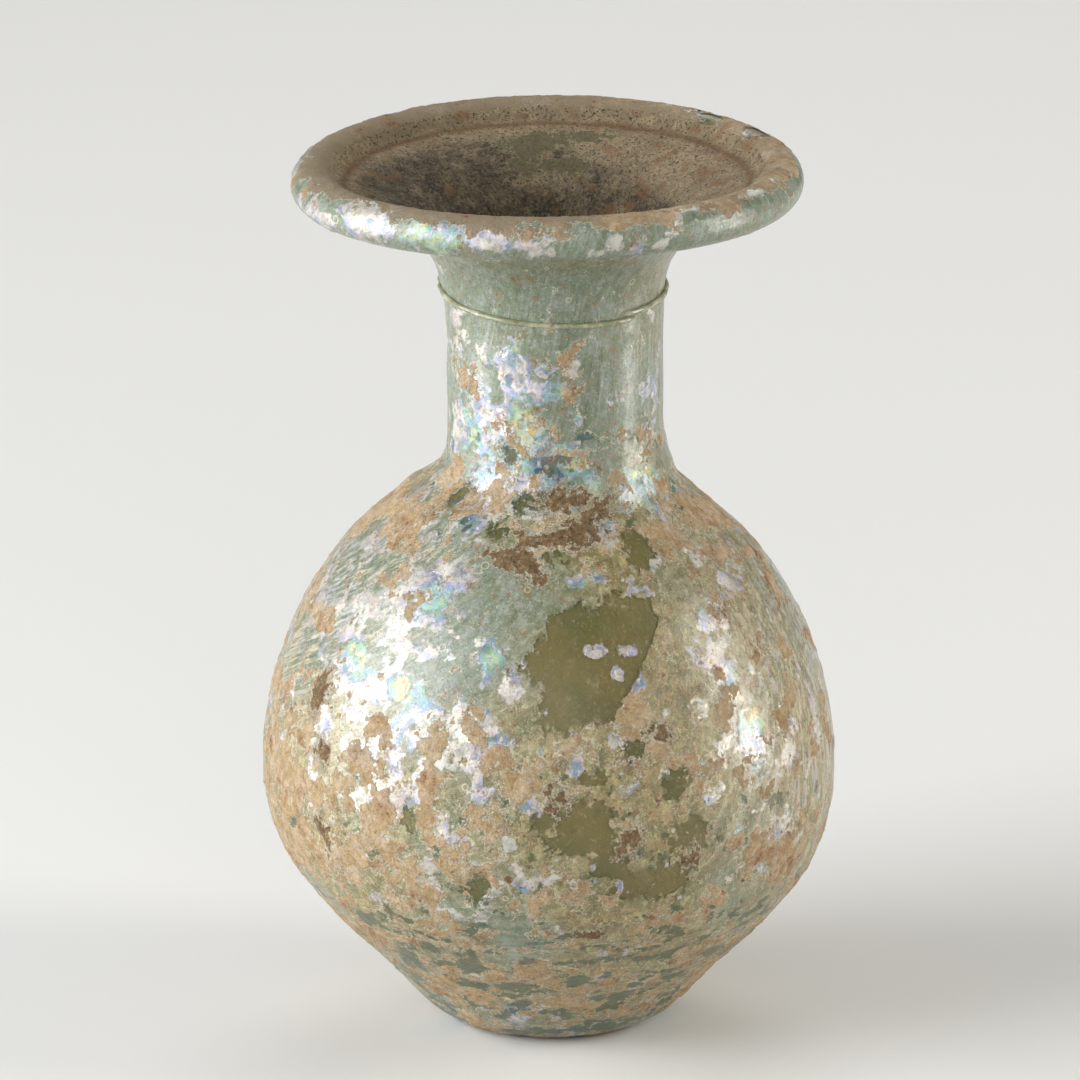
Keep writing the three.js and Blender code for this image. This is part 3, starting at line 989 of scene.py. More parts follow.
@dataclass(frozen=True)
class WeatheredSkin:
    """Film, pearly flakes, soil and crust on the outside of the glass."""

    effects: Effects
    film_dark: Colour = paint(76, 88, 56)
    film_green: Colour = paint(110, 121, 90)
    film_grey: Colour = paint(154, 160, 142)
    film_olive: Colour = paint(96, 87, 46)
    film_tan: Colour = paint(128, 116, 70)
    film_straw: Colour = paint(178, 165, 118)
    speck: Colour = paint(214, 214, 196)
    wisp_cream: Colour = paint(208, 192, 164)
    wisp_lilac: Colour = paint(188, 184, 186)
    flake_grey: Colour = paint(146, 148, 146)
    flake_pale: Colour = paint(202, 199, 194)
    deep_green: Colour = paint(56, 74, 38)
    deep_teal: Colour = paint(46, 78, 78)
    soil_dark: Colour = paint(134, 106, 70)
    soil_middle: Colour = paint(188, 157, 113)
    soil_light: Colour = paint(220, 200, 164)
    soil_umber: Colour = paint(134, 118, 92)
    rust: Colour = paint(150, 106, 68)
    crust_dark: Colour = paint(66, 51, 34)
    crust_middle: Colour = paint(118, 93, 62)
    crust_light: Colour = paint(172, 148, 110)
    cream: Colour = paint(218, 208, 182)

    def build(self) -> bpy.types.Material:
        """Makes the material."""
        material, bench, shader = new_finish("weathered_skin")
        place = bench.millimetres()
        cloud = bench.noise(place, 0.75, 6, 0.7).outputs[0]
        grain = bench.noise(place, 3.4, 5, 0.7).outputs[0]
        terrace = bench.put(
            "ShaderNodeGroup",
            {"Place": place, "Level": bench.named("pearl"), "Steps": 1.1, "Wobble": 5.0, "Scale": 0.42},
            node_tree=self.effects.terrace,
        ).outputs
        flake = bench.put("ShaderNodeGroup", {"Scale": 0.62, "Warp": 2.2, "Place": place}, node_tree=self.effects.flake)
        colour = self.film(bench, place, cloud, grain)
        pearl_mask = self.mask(bench, place, "pearl", 8.0, 0.4, 0.34)
        pearl = self.pearl_film(bench, place, flake, terrace, cloud)
        body = bench.maths("MULTIPLY", pearl_mask, bench.rise(cloud, 0.36, 0.56, 0.55, 1.0))
        colour = bench.blend(body, colour, pearl)
        ledge = bench.maths("MULTIPLY", terrace["Edge"], bench.rise(cloud, 0.4, 0.55, 0.0, 0.7))
        ledge = bench.maths("MULTIPLY", ledge, bench.rise(bench.named("pearl"), -1.5, 0.2))
        colour = bench.blend(ledge, colour, self.cream)
        colour = self.scratched(bench, place, colour)
        deep_mask = self.mask(bench, place, "deep", 8.0, 0.7, 0.25)
        deep = bench.blend(bench.rise(bench.named("warm"), -0.3, 0.2), self.deep_teal, self.deep_green)
        colour = bench.blend(bench.maths("MULTIPLY", deep_mask, 0.8), colour, deep)
        soil_edge = self.mask(bench, place, "soil", 11.0, 0.42, 0.3, 0.55)
        soil_edge = bench.maths("MULTIPLY", soil_edge, bench.rise(grain, 0.4, 0.58, 0.0, 0.8))
        colour = bench.blend(soil_edge, colour, self.cream)
        soil_mask = self.mask(bench, place, "soil", 11.0, 0.42, 0.3)
        soil_body = bench.maths("MULTIPLY", soil_mask, bench.rise(grain, 0.34, 0.56, 0.6, 1.0))
        colour = bench.blend(soil_body, colour, self.soil(bench, place))
        colour = self.spotted(bench, place, colour)
        halo_mask = self.mask(bench, place, "crust", 8.0, 0.7, 0.4, 0.5)
        halo = bench.maths("MULTIPLY", halo_mask, bench.rise(grain, 0.4, 0.6, 0.25, 1.0))
        colour = bench.blend(halo, colour, self.cream)
        crust_mask = self.mask(bench, place, "crust", 8.0, 0.7, 0.3)
        inputs = {
            "Place": place,
            "Scale": 1.5,
            "Dark": self.crust_dark,
            "Middle": self.crust_middle,
            "Light": self.crust_light,
        }
        crust = bench.put("ShaderNodeGroup", inputs, node_tree=self.effects.mottle).outputs[0]
        colour = bench.blend(crust_mask, colour, crust)
        earth = bench.maths("MAXIMUM", soil_mask, halo_mask)
        alpha = self.cover(bench, place, bench.maths("MAXIMUM", earth, pearl_mask))
        rough = bench.maths("MAXIMUM", bench.rise(cloud, 0.35, 0.65, 0.3, 0.5), bench.maths("MULTIPLY", earth, 0.9))
        free = bench.maths("SUBTRACT", 1.0, earth)
        shine = bench.maths("MULTIPLY", bench.maths("MULTIPLY", pearl_mask, 0.3), free)
        coat = bench.maths("MULTIPLY", free, bench.rise(cloud, 0.35, 0.65, 0.65, 0.25))
        shader.inputs["Coat Roughness"].default_value = 0.2
        normal = self.surface(bench, place, flake, terrace, shine, earth)
        for name, value in (
            ("Base Color", colour),
            ("Alpha", alpha),
            ("Roughness", rough),
            ("Metallic", shine),
            ("Coat Weight", coat),
            ("Normal", normal),
        ):
            bench.tree.links.new(value, shader.inputs[name])
        return material

    def mask(
        self, bench: Bench, place: Value, level: str, wobble: float, scale: float, soft: float, more: float = 0.0
    ) -> Value:
        """The crumbled mask of one of the levels kept on the points, let out by more millimetres."""
        raised = bench.maths("ADD", bench.named(level), more)
        inputs = {"Place": place, "Level": raised, "Wobble": wobble, "Scale": scale, "Softness": soft}
        return bench.put("ShaderNodeGroup", inputs, node_tree=self.effects.ragged).outputs[0]

    def film(self, bench: Bench, place: Value, cloud: Value, grain: Value) -> Value:
        """The dull film's colour: streaked along the glass's twist, greyer or more olive by place."""
        twisted = bench.named("twisted", "Vector")
        streak = bench.noise(bench.scaled(twisted, (1.1, 1.1, 0.07)), 1.0, 6, 0.68).outputs[0]
        broad = bench.noise(place, 0.2, 3, 0.6).outputs[0]
        haze = bench.maths("ADD", bench.maths("MULTIPLY", streak, 0.6), bench.maths("MULTIPLY", cloud, 0.25))
        haze = bench.maths("ADD", haze, bench.maths("MULTIPLY", broad, 0.15))
        cool = bench.blend(bench.rise(haze, 0.36, 0.5), self.film_dark, self.film_green)
        cool = bench.blend(bench.rise(haze, 0.49, 0.62), cool, self.film_grey)
        dry = bench.blend(bench.rise(haze, 0.36, 0.5), self.film_olive, self.film_tan)
        dry = bench.blend(bench.rise(haze, 0.49, 0.62), dry, self.film_straw)
        inputs = {"Place": bench.scaled(place, (1.0, 1.0, 0.7)), "Scale": 0.75, "Warp": 2.4}
        bit = bench.put("ShaderNodeGroup", inputs, node_tree=self.effects.mosaic).outputs[0]
        cool = bench.blend(bench.rise(cloud, 0.4, 0.6, 0.15, 0.6), cool, bench.ramp(bit, self.cool_bits()))
        dry = bench.blend(bench.rise(cloud, 0.4, 0.6, 0.25, 0.8), dry, bench.ramp(bit, self.dry_bits()))
        colour = bench.blend(bench.rise(bench.named("warm"), -0.15, 0.4), cool, dry)
        fine_streak = bench.noise(bench.scaled(twisted, (0.75, 0.75, 0.06)), 1.3, 7, 0.74).outputs[0]
        wisp = bench.maths("MULTIPLY", bench.named("wisp"), bench.rise(fine_streak, 0.47, 0.6, 0.0, 0.9), clamp=True)
        colour = bench.blend(wisp, colour, bench.blend(bench.rise(broad, 0.42, 0.58), self.wisp_cream, self.wisp_lilac))
        return bench.blend(bench.rise(grain, 0.56, 0.7, 0.0, 0.6), colour, self.speck)

    def cool_bits(self) -> list[tuple[float, Colour]]:
        """The colours of the bits in the grey-green film."""
        green, grey = paint(98, 110, 82), paint(156, 162, 152)
        return [(0.2, green), (0.36, grey), (0.5, paint(150, 148, 158)), (0.62, paint(134, 154, 140)), (0.8, green)]

    def dry_bits(self) -> list[tuple[float, Colour]]:
        """The colours of the bits in the olive film."""
        tan, cream = paint(182, 144, 98), paint(198, 186, 140)
        brown, leaf = paint(112, 82, 48), paint(130, 136, 92)
        return [(0.2, self.film_olive), (0.34, leaf), (0.46, cream), (0.58, tan), (0.7, leaf), (0.82, brown)]

    def pearl_film(self, bench: Bench, place: Value, flake: bpy.types.Node, terrace: dict, cloud: Value) -> Value:
        """The colour of the pearly flakes, which shifts from flake to flake and from layer to layer."""
        slow = bench.noise(place, 0.3, 3, 0.6).outputs[0]
        phase = bench.maths("ADD", bench.named("hue"), bench.maths("MULTIPLY", bench.maths("SUBTRACT", slow, 0.5), 0.5))
        own = bench.maths("MULTIPLY", bench.maths("SUBTRACT", flake.outputs["Number"], 0.5), 0.22)
        layer = bench.maths("MULTIPLY", bench.maths("SUBTRACT", terrace["Number"], 0.5), 0.3)
        phase = bench.maths("ADD", bench.maths("ADD", phase, own), layer, clamp=True)
        colour = bench.put("ShaderNodeGroup", {"Phase": phase}, node_tree=self.effects.pearl).outputs[0]
        dull = bench.blend(bench.rise(cloud, 0.4, 0.58), self.flake_grey, self.flake_pale)
        return bench.blend(bench.rise(terrace["Number"], 0.1, 0.8, 0.35, 0.95), dull, colour)

    def scratched(self, bench: Bench, place: Value, colour: Value) -> Value:
        """Thin pale cracks and the rings round burst bubbles."""
        wander = bench.noise(place, 0.5, 4, 0.65).outputs["Color"]
        push = bench.put("ShaderNodeVectorMath", {0: wander, "Scale": 2.5}, operation="SCALE").outputs[0]
        warped = bench.put("ShaderNodeVectorMath", {0: place, 1: push}, operation="ADD").outputs[0]
        crack = bench.put("ShaderNodeTexVoronoi", {"Vector": warped, "Scale": 0.15}, feature="DISTANCE_TO_EDGE")
        broken = bench.rise(bench.noise(place, 0.3, 3, 0.6).outputs[0], 0.56, 0.64)
        line = bench.maths("MULTIPLY", bench.rise(crack.outputs["Distance"], 0.003, 0.014, 0.7, 0.0), broken)
        colour = bench.blend(line, colour, self.cream)
        pit = bench.put("ShaderNodeTexVoronoi", {"Vector": place, "Scale": 0.36}, feature="F1")
        kind = bench.put("ShaderNodeSeparateColor", {0: pit.outputs["Color"]}).outputs
        chosen = bench.maths("GREATER_THAN", kind[0], 0.82)
        radius = bench.maths("ADD", bench.maths("MULTIPLY", kind[1], 0.16), 0.05)
        off = bench.maths("ABSOLUTE", bench.maths("SUBTRACT", pit.outputs["Distance"], radius))
        ring = bench.maths("MULTIPLY", bench.rise(off, 0.015, 0.04, 0.55, 0.0), chosen)
        return bench.blend(ring, colour, self.cream)

    def spotted(self, bench: Bench, place: Value, colour: Value) -> Value:
        """Small rusty spots, the strongest of them dark in the middle."""
        spot = bench.noise(place, 1.35, 7, 0.74).outputs[0]
        where = bench.maths("MULTIPLY", bench.maths("SUBTRACT", bench.named("stain"), 0.1), 0.12)
        spot = bench.maths("ADD", spot, where)
        colour = bench.blend(bench.rise(spot, 0.58, 0.66, 0.0, 0.7), colour, self.rust)
        return bench.blend(bench.rise(spot, 0.66, 0.73, 0.0, 0.85), colour, self.crust_dark)

    def soil(self, bench: Bench, place: Value) -> Value:
        """Tan earth with paler and rusty places."""
        inputs = {
            "Place": place,
            "Scale": 0.8,
            "Dark": self.soil_dark,
            "Middle": self.soil_middle,
            "Light": self.soil_light,
        }
        colour = bench.put("ShaderNodeGroup", inputs, node_tree=self.effects.mottle).outputs[0]
        inputs = {"Place": place, "Scale": 0.55, "Warp": 2.6}
        bit = bench.put("ShaderNodeGroup", inputs, node_tree=self.effects.mosaic).outputs[0]
        bits = bench.ramp(bit, [(0.25, paint(150, 124, 88)), (0.45, paint(204, 172, 132)), (0.62, self.flake_pale), (0.75, self.soil_dark)])
        colour = bench.blend(0.4, colour, bits)
        colour = bench.blend(bench.rise(bench.named("stain"), 0.2, 0.8, 0.0, 0.45), colour, self.rust)
        return bench.blend(bench.rise(bench.named("umber_and_lit_funnel"), 0.1, 0.9, 0.0, 0.85), colour, self.soil_umber)

    def cover(self, bench: Bench, place: Value, kept: Value) -> Value:
        """How solid the skin is: gone from the clean windows but for specks, whole elsewhere."""
        bare = self.mask(bench, place, "bare", 7.0, 0.6, 0.3)
        specks = bench.noise(place, 2.2, 5, 0.76).outputs[0]
        veil = bench.noise(place, 0.28, 4, 0.62).outputs[0]
        dust = bench.maths("ADD", bench.rise(specks, 0.5, 0.66, 0.04, 0.6), bench.rise(veil, 0.5, 0.72, 0.0, 0.4))
        gone = bench.maths("MULTIPLY", bare, bench.maths("SUBTRACT", 1.0, dust))
        return bench.maths("MAXIMUM", bench.maths("SUBTRACT", 1.0, gone), kept)

    def surface(
        self, bench: Bench, place: Value, flake: bpy.types.Node, terrace: dict, shine: Value, earth: Value
    ) -> Value:
        """The skin's small relief: each flake tilts its own way, layers end in ledges and soil is gritty."""
        amount = bench.maths("MULTIPLY", shine, 0.9)
        tilt = bench.put("ShaderNodeVectorMath", {0: flake.outputs["Tilt"], "Scale": amount}, operation="SCALE").outputs[0]
        facing = bench.put("ShaderNodeNewGeometry").outputs["Normal"]
        turned = bench.put("ShaderNodeVectorMath", {0: facing, 1: tilt}, operation="ADD").outputs[0]
        turned = bench.put("ShaderNodeVectorMath", {0: turned}, operation="NORMALIZE").outputs[0]
        grit = bench.noise(place, 2.6, 4, 0.75).outputs[0]
        height = bench.maths("MULTIPLY", grit, bench.rise(earth, 0.0, 1.0, 0.1, 0.34))
        height = bench.maths("ADD", height, bench.maths("MULTIPLY", terrace["Depth"], 0.05))
        inputs = {"Strength": 1.0, "Distance": 0.001, "Height": height, "Normal": turned}
        return bench.put("ShaderNodeBump", inputs).outputs[0]


@dataclass(frozen=True)
class MouthCrust:
    """The brown deposit that lines the mouth, the neck and the inside."""

    effects: Effects
    name: str = "mouth_crust"
    dark: Colour = paint(50, 43, 34)
    middle: Colour = paint(92, 80, 62)
    light: Colour = paint(146, 130, 104)
    rust: Colour = paint(132, 94, 56)
    green: Colour = paint(104, 101, 54)
    cream: Colour = paint(176, 166, 130)
    # Sandy deposit colour, also used as painted light on the funnel's lit right side.
    sandy_and_lit: Colour = paint(188, 165, 130)
    black: Colour = paint(30, 26, 20)
    # Painted shade mixed with real ochre deposit: the darker orange-brown of the groove line.
    ochre_and_shade: Colour = paint(112, 80, 44)

    def build(self) -> bpy.types.Material:
        """Makes the material."""
        material, bench, shader = new_finish(self.name)
        place = bench.millimetres()
        inputs = {"Place": place, "Scale": 0.7, "Dark": self.dark, "Middle": self.middle, "Light": self.light}
        colour = bench.put("ShaderNodeGroup", inputs, node_tree=self.effects.mottle).outputs[0]
        broad = bench.noise(place, 0.22, 5, 0.65).outputs[0]
        plain = bench.blend(bench.rise(broad, 0.4, 0.6), self.dark, self.middle)
        colour = bench.blend(0.6, colour, plain)
        # Painted light mixed with sandy deposit: the funnel's inner face turns lighter and sandier where the funnel
        # patches lie, most on its right side, where light falls.
        sand_and_lit_side = bench.maths("ADD", bench.named("umber_and_lit_funnel"), bench.maths("SUBTRACT", broad, 0.5))
        colour = bench.blend(bench.rise(sand_and_lit_side, -0.1, 0.9, 0.0, 0.8), colour, self.sandy_and_lit)
        inputs = {"Place": place, "Scale": 0.5, "Warp": 3.0}
        bit = bench.put("ShaderNodeGroup", inputs, node_tree=self.effects.mosaic).outputs[0]
        bits = [(0.3, self.dark), (0.42, self.middle), (0.55, self.sandy_and_lit), (0.66, self.green), (0.78, self.dark)]
        colour = bench.blend(0.35, colour, bench.ramp(bit, bits))
        speck = bench.noise(place, 2.4, 6, 0.74).outputs[0]
        colour = bench.blend(bench.rise(speck, 0.54, 0.59, 0.0, 0.85), colour, self.black)
        colour = bench.blend(bench.rise(speck, 0.44, 0.38, 0.0, 0.7), colour, self.light)
        # Painted shade mixed with real ochre deposit: a darker orange-brown line along the groove where the rim turns
        # into the funnel.
        colour = bench.blend(bench.maths("MULTIPLY", bench.named("groove"), 0.75), colour, self.ochre_and_shade)
        colour = bench.blend(bench.rise(bench.named("stain"), 0.4, 0.9, 0.0, 0.55), colour, self.rust)
        bare = {"Place": place, "Level": bench.named("bare"), "Wobble": 7.0, "Scale": 0.7, "Softness": 0.14}
        mask = bench.put("ShaderNodeGroup", bare, node_tree=self.effects.ragged).outputs[0]
        under = bench.blend(bench.rise(speck, 0.45, 0.55), self.green, self.middle)
        colour = bench.blend(bench.maths("MULTIPLY", mask, 0.85), colour, under)
        rim = bench.maths("MULTIPLY", mask, bench.maths("SUBTRACT", 1.0, mask))
        colour = bench.blend(bench.maths("MULTIPLY", rim, 3.4, clamp=True), colour, self.cream)
        grit = bench.noise(place, 1.9, 5, 0.76).outputs[0]
        height = bench.maths("MULTIPLY", grit, 0.6)
        bump = bench.put("ShaderNodeBump", {"Strength": 1.0, "Distance": 0.001, "Height": height})
        bench.tree.links.new(colour, shader.inputs["Base Color"])
        bench.tree.links.new(bench.rise(mask, 0.0, 1.0, 0.9, 0.75), shader.inputs["Roughness"])
        bench.tree.links.new(bump.outputs[0], shader.inputs["Normal"])
        return material


@dataclass(frozen=True)
class ThreadGlass:
    """The pale trailed thread, with soil in places."""

    glass: Colour = paint(140, 144, 114)
    worn: Colour = paint(176, 174, 150)
    soiled: Colour = paint(136, 116, 84)

    def build(self) -> bpy.types.Material:
        """Makes the material."""
        material, bench, shader = new_finish("thread_glass")
        place = bench.millimetres()
        patchy = bench.noise(place, 0.45, 4, 0.65).outputs[0]
        colour = bench.blend(bench.rise(patchy, 0.4, 0.6), self.glass, self.worn)
        colour = bench.blend(bench.rise(bench.noise(place, 1.3, 4, 0.7).outputs[0], 0.56, 0.66), colour, self.soiled)
        bench.tree.links.new(colour, shader.inputs["Base Color"])
        bench.tree.links.new(bench.rise(patchy, 0.35, 0.65, 0.12, 0.35), shader.inputs["Roughness"])
        return material


@dataclass(frozen=True)
class LooseSoil:
    """Grains of dry soil."""

    effects: Effects
    dark: Colour = paint(130, 98, 66)
    middle: Colour = paint(192, 154, 112)
    light: Colour = paint(226, 204, 170)

    def build(self) -> bpy.types.Material:
        """Makes the material."""
        material, bench, shader = new_finish("loose_soil")
        inputs = {
            "Place": bench.millimetres(),
            "Scale": 1.1,
            "Dark": self.dark,
            "Middle": self.middle,
            "Light": self.light,
        }
        colour = bench.put("ShaderNodeGroup", inputs, node_tree=self.effects.mottle).outputs[0]
        bench.tree.links.new(colour, shader.inputs["Base Color"])
        shader.inputs["Roughness"].default_value = 0.95
        return material


# ---------------------------------------------------------------- geometry node trees


def geometry_tree(name: str, inputs: dict[str, str]) -> tuple:
    """An empty geometry node tree with one geometry in and out besides its inputs."""
    return make_group(name, "GeometryNodeTree", {"Geometry": "Geometry", **inputs}, {"Geometry": "Geometry"})


def turned_wall_tree() -> bpy.types.NodeTree:
    """Turns a profile round the axis: the profile's far end gets along 1, and the seam is behind."""
    sockets = {"Steps Around": "Int", "Steps Along": "Int", "Material": "Material"}
    group, bench, given, result = geometry_tree("turned wall", sockets)
    profile = bench.put("GeometryNodeMeshToCurve", {"Mesh": given["Geometry"]}).outputs[0]
    around = bench.maths("ADD", given["Steps Around"], 1)
    rows = bench.maths("ADD", given["Steps Along"], 1)
    grid = bench.put("GeometryNodeMeshGrid", {"Vertices X": around, "Vertices Y": rows, "Size X": 1.0, "Size Y": 1.0})
    parts = bench.put("ShaderNodeSeparateXYZ", {0: grid.outputs["UV Map"]}).outputs
    sample = bench.put("GeometryNodeSampleCurve", {"Curves": profile, "Factor": parts[1]}, mode="FACTOR")
    spot = bench.put("ShaderNodeSeparateXYZ", {0: sample.outputs["Position"]}).outputs
    angle = bench.maths("MULTIPLY", parts[0], math.tau)
    x = bench.maths("MULTIPLY", bench.maths("MULTIPLY", spot[0], bench.maths("SINE", angle)), -1.0)
    y = bench.maths("MULTIPLY", spot[0], bench.maths("COSINE", angle))
    place = bench.put("ShaderNodeCombineXYZ", {0: x, 1: y, 2: spot[2]}).outputs[0]
    kept = bench.put(
        "GeometryNodeStoreNamedAttribute",
        {"Geometry": grid.outputs["Mesh"], "Name": "along", "Value": parts[1]},
        data_type="FLOAT",
        domain="POINT",
    )
    turned = bench.put("GeometryNodeSetPosition", {"Geometry": kept.outputs[0], "Position": place}).outputs[0]
    joined = bench.put("GeometryNodeMergeByDistance", {"Geometry": turned, "Distance": 1e-6}).outputs[0]
    smooth = bench.put("GeometryNodeSetShadeSmooth", {"Geometry": joined, "Shade Smooth": True}).outputs[0]
    real = bench.put("GeometryNodeRealizeInstances", {"Geometry": smooth}).outputs[0]
    done = bench.put("GeometryNodeSetMaterial", {"Geometry": real, "Material": given["Material"]}).outputs[0]
    bench.tree.links.new(done, result.inputs["Geometry"])
    return group


def trailed_thread_tree() -> bpy.types.NodeTree:
    """Lays a round thread along a path, as thick at each point as the path's own value says."""
    group, bench, given, result = geometry_tree("trailed thread", {"Sides": "Int", "Material": "Material"})
    path = bench.put("GeometryNodeMeshToCurve", {"Mesh": given["Geometry"]}).outputs[0]
    thick = bench.put("GeometryNodeInputNamedAttribute", {"Name": "thick"}, data_type="FLOAT").outputs[0]
    sized = bench.put("GeometryNodeSetCurveRadius", {"Curve": path, "Radius": thick}).outputs[0]
    ring = bench.put("GeometryNodeCurvePrimitiveCircle", {"Resolution": given["Sides"], "Radius": 1.0}, mode="RADIUS")
    inputs = {"Curve": sized, "Profile Curve": ring.outputs[0], "Fill Caps": True}
    tube = bench.put("GeometryNodeCurveToMesh", inputs)
    scale = tube.inputs.get("Scale")
    if scale is not None:
        bench.tree.links.new(thick, scale)
    smooth = bench.put("GeometryNodeSetShadeSmooth", {"Geometry": tube.outputs[0], "Shade Smooth": True}).outputs[0]
    real = bench.put("GeometryNodeRealizeInstances", {"Geometry": smooth}).outputs[0]
    done = bench.put("GeometryNodeSetMaterial", {"Geometry": real, "Material": given["Material"]}).outputs[0]
    bench.tree.links.new(done, result.inputs["Geometry"])
    return group


def strewn_soil_tree() -> bpy.types.NodeTree:
    """Strews grains over a surface, as thickly as the surface's own value says."""
    sockets = {"Most": "Float", "Smallest": "Float", "Largest": "Float", "Seed": "Int", "Material": "Material"}
    group, bench, given, result = geometry_tree("strewn soil", sockets)
    loose = bench.put("GeometryNodeInputNamedAttribute", {"Name": "loose"}, data_type="FLOAT").outputs[0]
    density = bench.maths("MULTIPLY", loose, given["Most"])
    inputs = {"Mesh": given["Geometry"], "Density": density, "Seed": given["Seed"]}
    points = bench.put("GeometryNodeDistributePointsOnFaces", inputs, distribute_method="RANDOM").outputs[0]
    grain = bench.put("GeometryNodeMeshIcoSphere", {"Radius": 1.0, "Subdivisions": 1}).outputs[0]
    size = bench.put("FunctionNodeRandomValue", {2: given["Smallest"], 3: given["Largest"], "Seed": given["Seed"]})
    turn = bench.put("FunctionNodeRandomValue", {0: (0.0, 0.0, 0.0), 1: (6.28, 6.28, 6.28), "Seed": 3}, data_type="FLOAT_VECTOR")
    squash = bench.put("FunctionNodeRandomValue", {0: (0.7, 0.7, 0.5), 1: (1.3, 1.1, 0.9), "Seed": 5}, data_type="FLOAT_VECTOR")
    scale = bench.put("ShaderNodeVectorMath", {0: squash.outputs[0], "Scale": size.outputs[1]}, operation="SCALE").outputs[0]
    inputs = {"Points": points, "Instance": grain, "Rotation": turn.outputs[0], "Scale": scale}
    laid = bench.put("GeometryNodeInstanceOnPoints", inputs).outputs[0]
    real = bench.put("GeometryNodeRealizeInstances", {"Geometry": laid}).outputs[0]
    done = bench.put("GeometryNodeSetMaterial", {"Geometry": real, "Material": given["Material"]}).outputs[0]
    bench.tree.links.new(done, result.inputs["Geometry"])
    return group


def grown(name: str, start: bpy.types.Mesh, tree: bpy.types.NodeTree, inputs: dict[str, object]) -> bpy.types.Object:
    """A plain mesh object made by a geometry node tree from a starting mesh.

    Args:
        name: the finished piece's name.
        start: the mesh that the tree works on.
        tree: the geometry node tree.
        inputs: the value of each of its named inputs.

    Returns:
        The finished object, with no modifier left on it.
    """
    maker = bpy.data.objects.new(name + "_start", start)
    bpy.context.scene.collection.objects.link(maker)
    modifier = maker.modifiers.new(tree.name, "NODES")
    modifier.node_group = tree
    sockets = [item for item in tree.interface.items_tree if item.item_type == "SOCKET" and item.in_out == "INPUT"]
    for item in sockets:
        if item.name in inputs:
            modifier[item.identifier] = inputs[item.name]
    shown = maker.evaluated_get(bpy.context.evaluated_depsgraph_get())
    mesh = bpy.data.meshes.new_from_object(shown)
    mesh.name = name
    bpy.data.objects.remove(maker)
    piece = bpy.data.objects.new(name, mesh)
    bpy.context.scene.collection.objects.link(piece)
    return piece


def dress(piece: bpy.types.Object) -> bpy.types.Object:
    """Lets a finished piece ride on the flask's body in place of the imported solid."""
    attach(piece, BODY)
    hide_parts(NODE)
    piece.data.calc_loop_triangles()
    LOG.info("%s: %d triangles", piece.name, len(piece.data.loop_triangles))
    return piece


# ---------------------------------------------------------------- the flask's pieces


@dataclass
class TurnedBand:
    """A stretch of the section turned round the axis and shaped by the weathering on it."""

    name: str
    form: FlaskForm
    tree: bpy.types.NodeTree
    material: bpy.types.Material
    start: float
    end: float
    steps_around: int
    steps_along: int
    weathering: Weathering | None = None
    lift: float = 0.0

    def build(self) -> bpy.types.Object:
        """Makes the band."""
        form = self.form
        far = np.linspace(self.start, self.end, self.steps_along + 1)
        points = form.at(far)[0] * form.unit
        profile = bpy.data.meshes.new(self.name + "_profile")
        rows = [(radius, 0.0, height) for radius, height in points]
        profile.from_pydata(rows, [(i, i + 1) for i in range(len(rows) - 1)], [])
        inputs = {"Steps Around": self.steps_around, "Steps Along": self.steps_along, "Material": self.material}
        piece = grown(self.name, profile, self.tree, inputs)
        self.shape(piece.data)
        return dress(piece)

    def shape(self, mesh: bpy.types.Mesh) -> None:
        """Moves the turned points onto the weathered surface and keeps its layers on them."""
        form = self.form
        count = len(mesh.vertices)
        turned = np.empty(count * 3, np.float32)
        mesh.vertices.foreach_get("co", turned)
        turned = turned.reshape(-1, 3).astype(float)
        share = np.empty(count, np.float32)
        mesh.attributes["along"].data.foreach_get("value", share)
        along = self.start + share.astype(float) * (self.end - self.start)
        turn = np.degrees(np.arctan2(turned[:, 0], -turned[:, 1]))
        points, out = form.at(along)
        skin = Skin(along, turn, points[:, 0], points[:, 1])
        angle = np.radians(turn)
        outward = np.stack([out[:, 0] * np.sin(angle), -out[:, 0] * np.cos(angle), out[:, 1]], axis=1)
        rise = np.full(count, self.lift - form.inset)
        if self.weathering is not None:
            levels = self.weathering.levels(skin)
            for name, values in levels.items():
                self.keep(mesh, name, values)
            twisted = mesh.attributes.new("twisted", "FLOAT_VECTOR", "POINT")
            twisted.data.foreach_set("vector", skin.twisted().astype(np.float32).ravel())
            rise += self.weathering.relief(skin, levels)
            self.keep(mesh, "loose", self.weathering.looseness(skin, levels))
        settled = form.settle(skin.place)
        placed = settled + outward * self.within(settled, outward, rise)[:, None]
        mesh.vertices.foreach_set("co", (placed * form.unit).astype(np.float32).ravel())
        mesh.update()

    @staticmethod
    def keep(mesh: bpy.types.Mesh, name: str, values: np.ndarray) -> None:
        """Keeps a value on each of the mesh's points."""
        attribute = mesh.attributes.new(name, "FLOAT", "POINT")
        attribute.data.foreach_set("value", values.astype(np.float32))

    def within(self, place: np.ndarray, outward: np.ndarray, rise: np.ndarray) -> np.ndarray:
        """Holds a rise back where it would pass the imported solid's outermost reach."""
        form = self.form
        reach = form.highest.x / form.unit - 0.01
        top = form.highest.z / form.unit - 0.02
        flat = np.hypot(place[:, 0], place[:, 1])
        out = np.hypot(outward[:, 0], outward[:, 1]) * np.sign(outward[:, 0] * place[:, 0] + outward[:, 1] * place[:, 1])
        side_room = np.where(out > 0.05, (reach - flat) / np.maximum(out, 0.05), 9.0)
        top_room = np.where(outward[:, 2] > 0.05, (top - place[:, 2]) / np.maximum(outward[:, 2], 0.05), 9.0)
        foot_room = np.where(outward[:, 2] < -0.02, place[:, 2] / np.maximum(-outward[:, 2], 0.02), 9.0)
        return np.minimum(np.minimum(rise, side_room), np.minimum(top_room, foot_room))


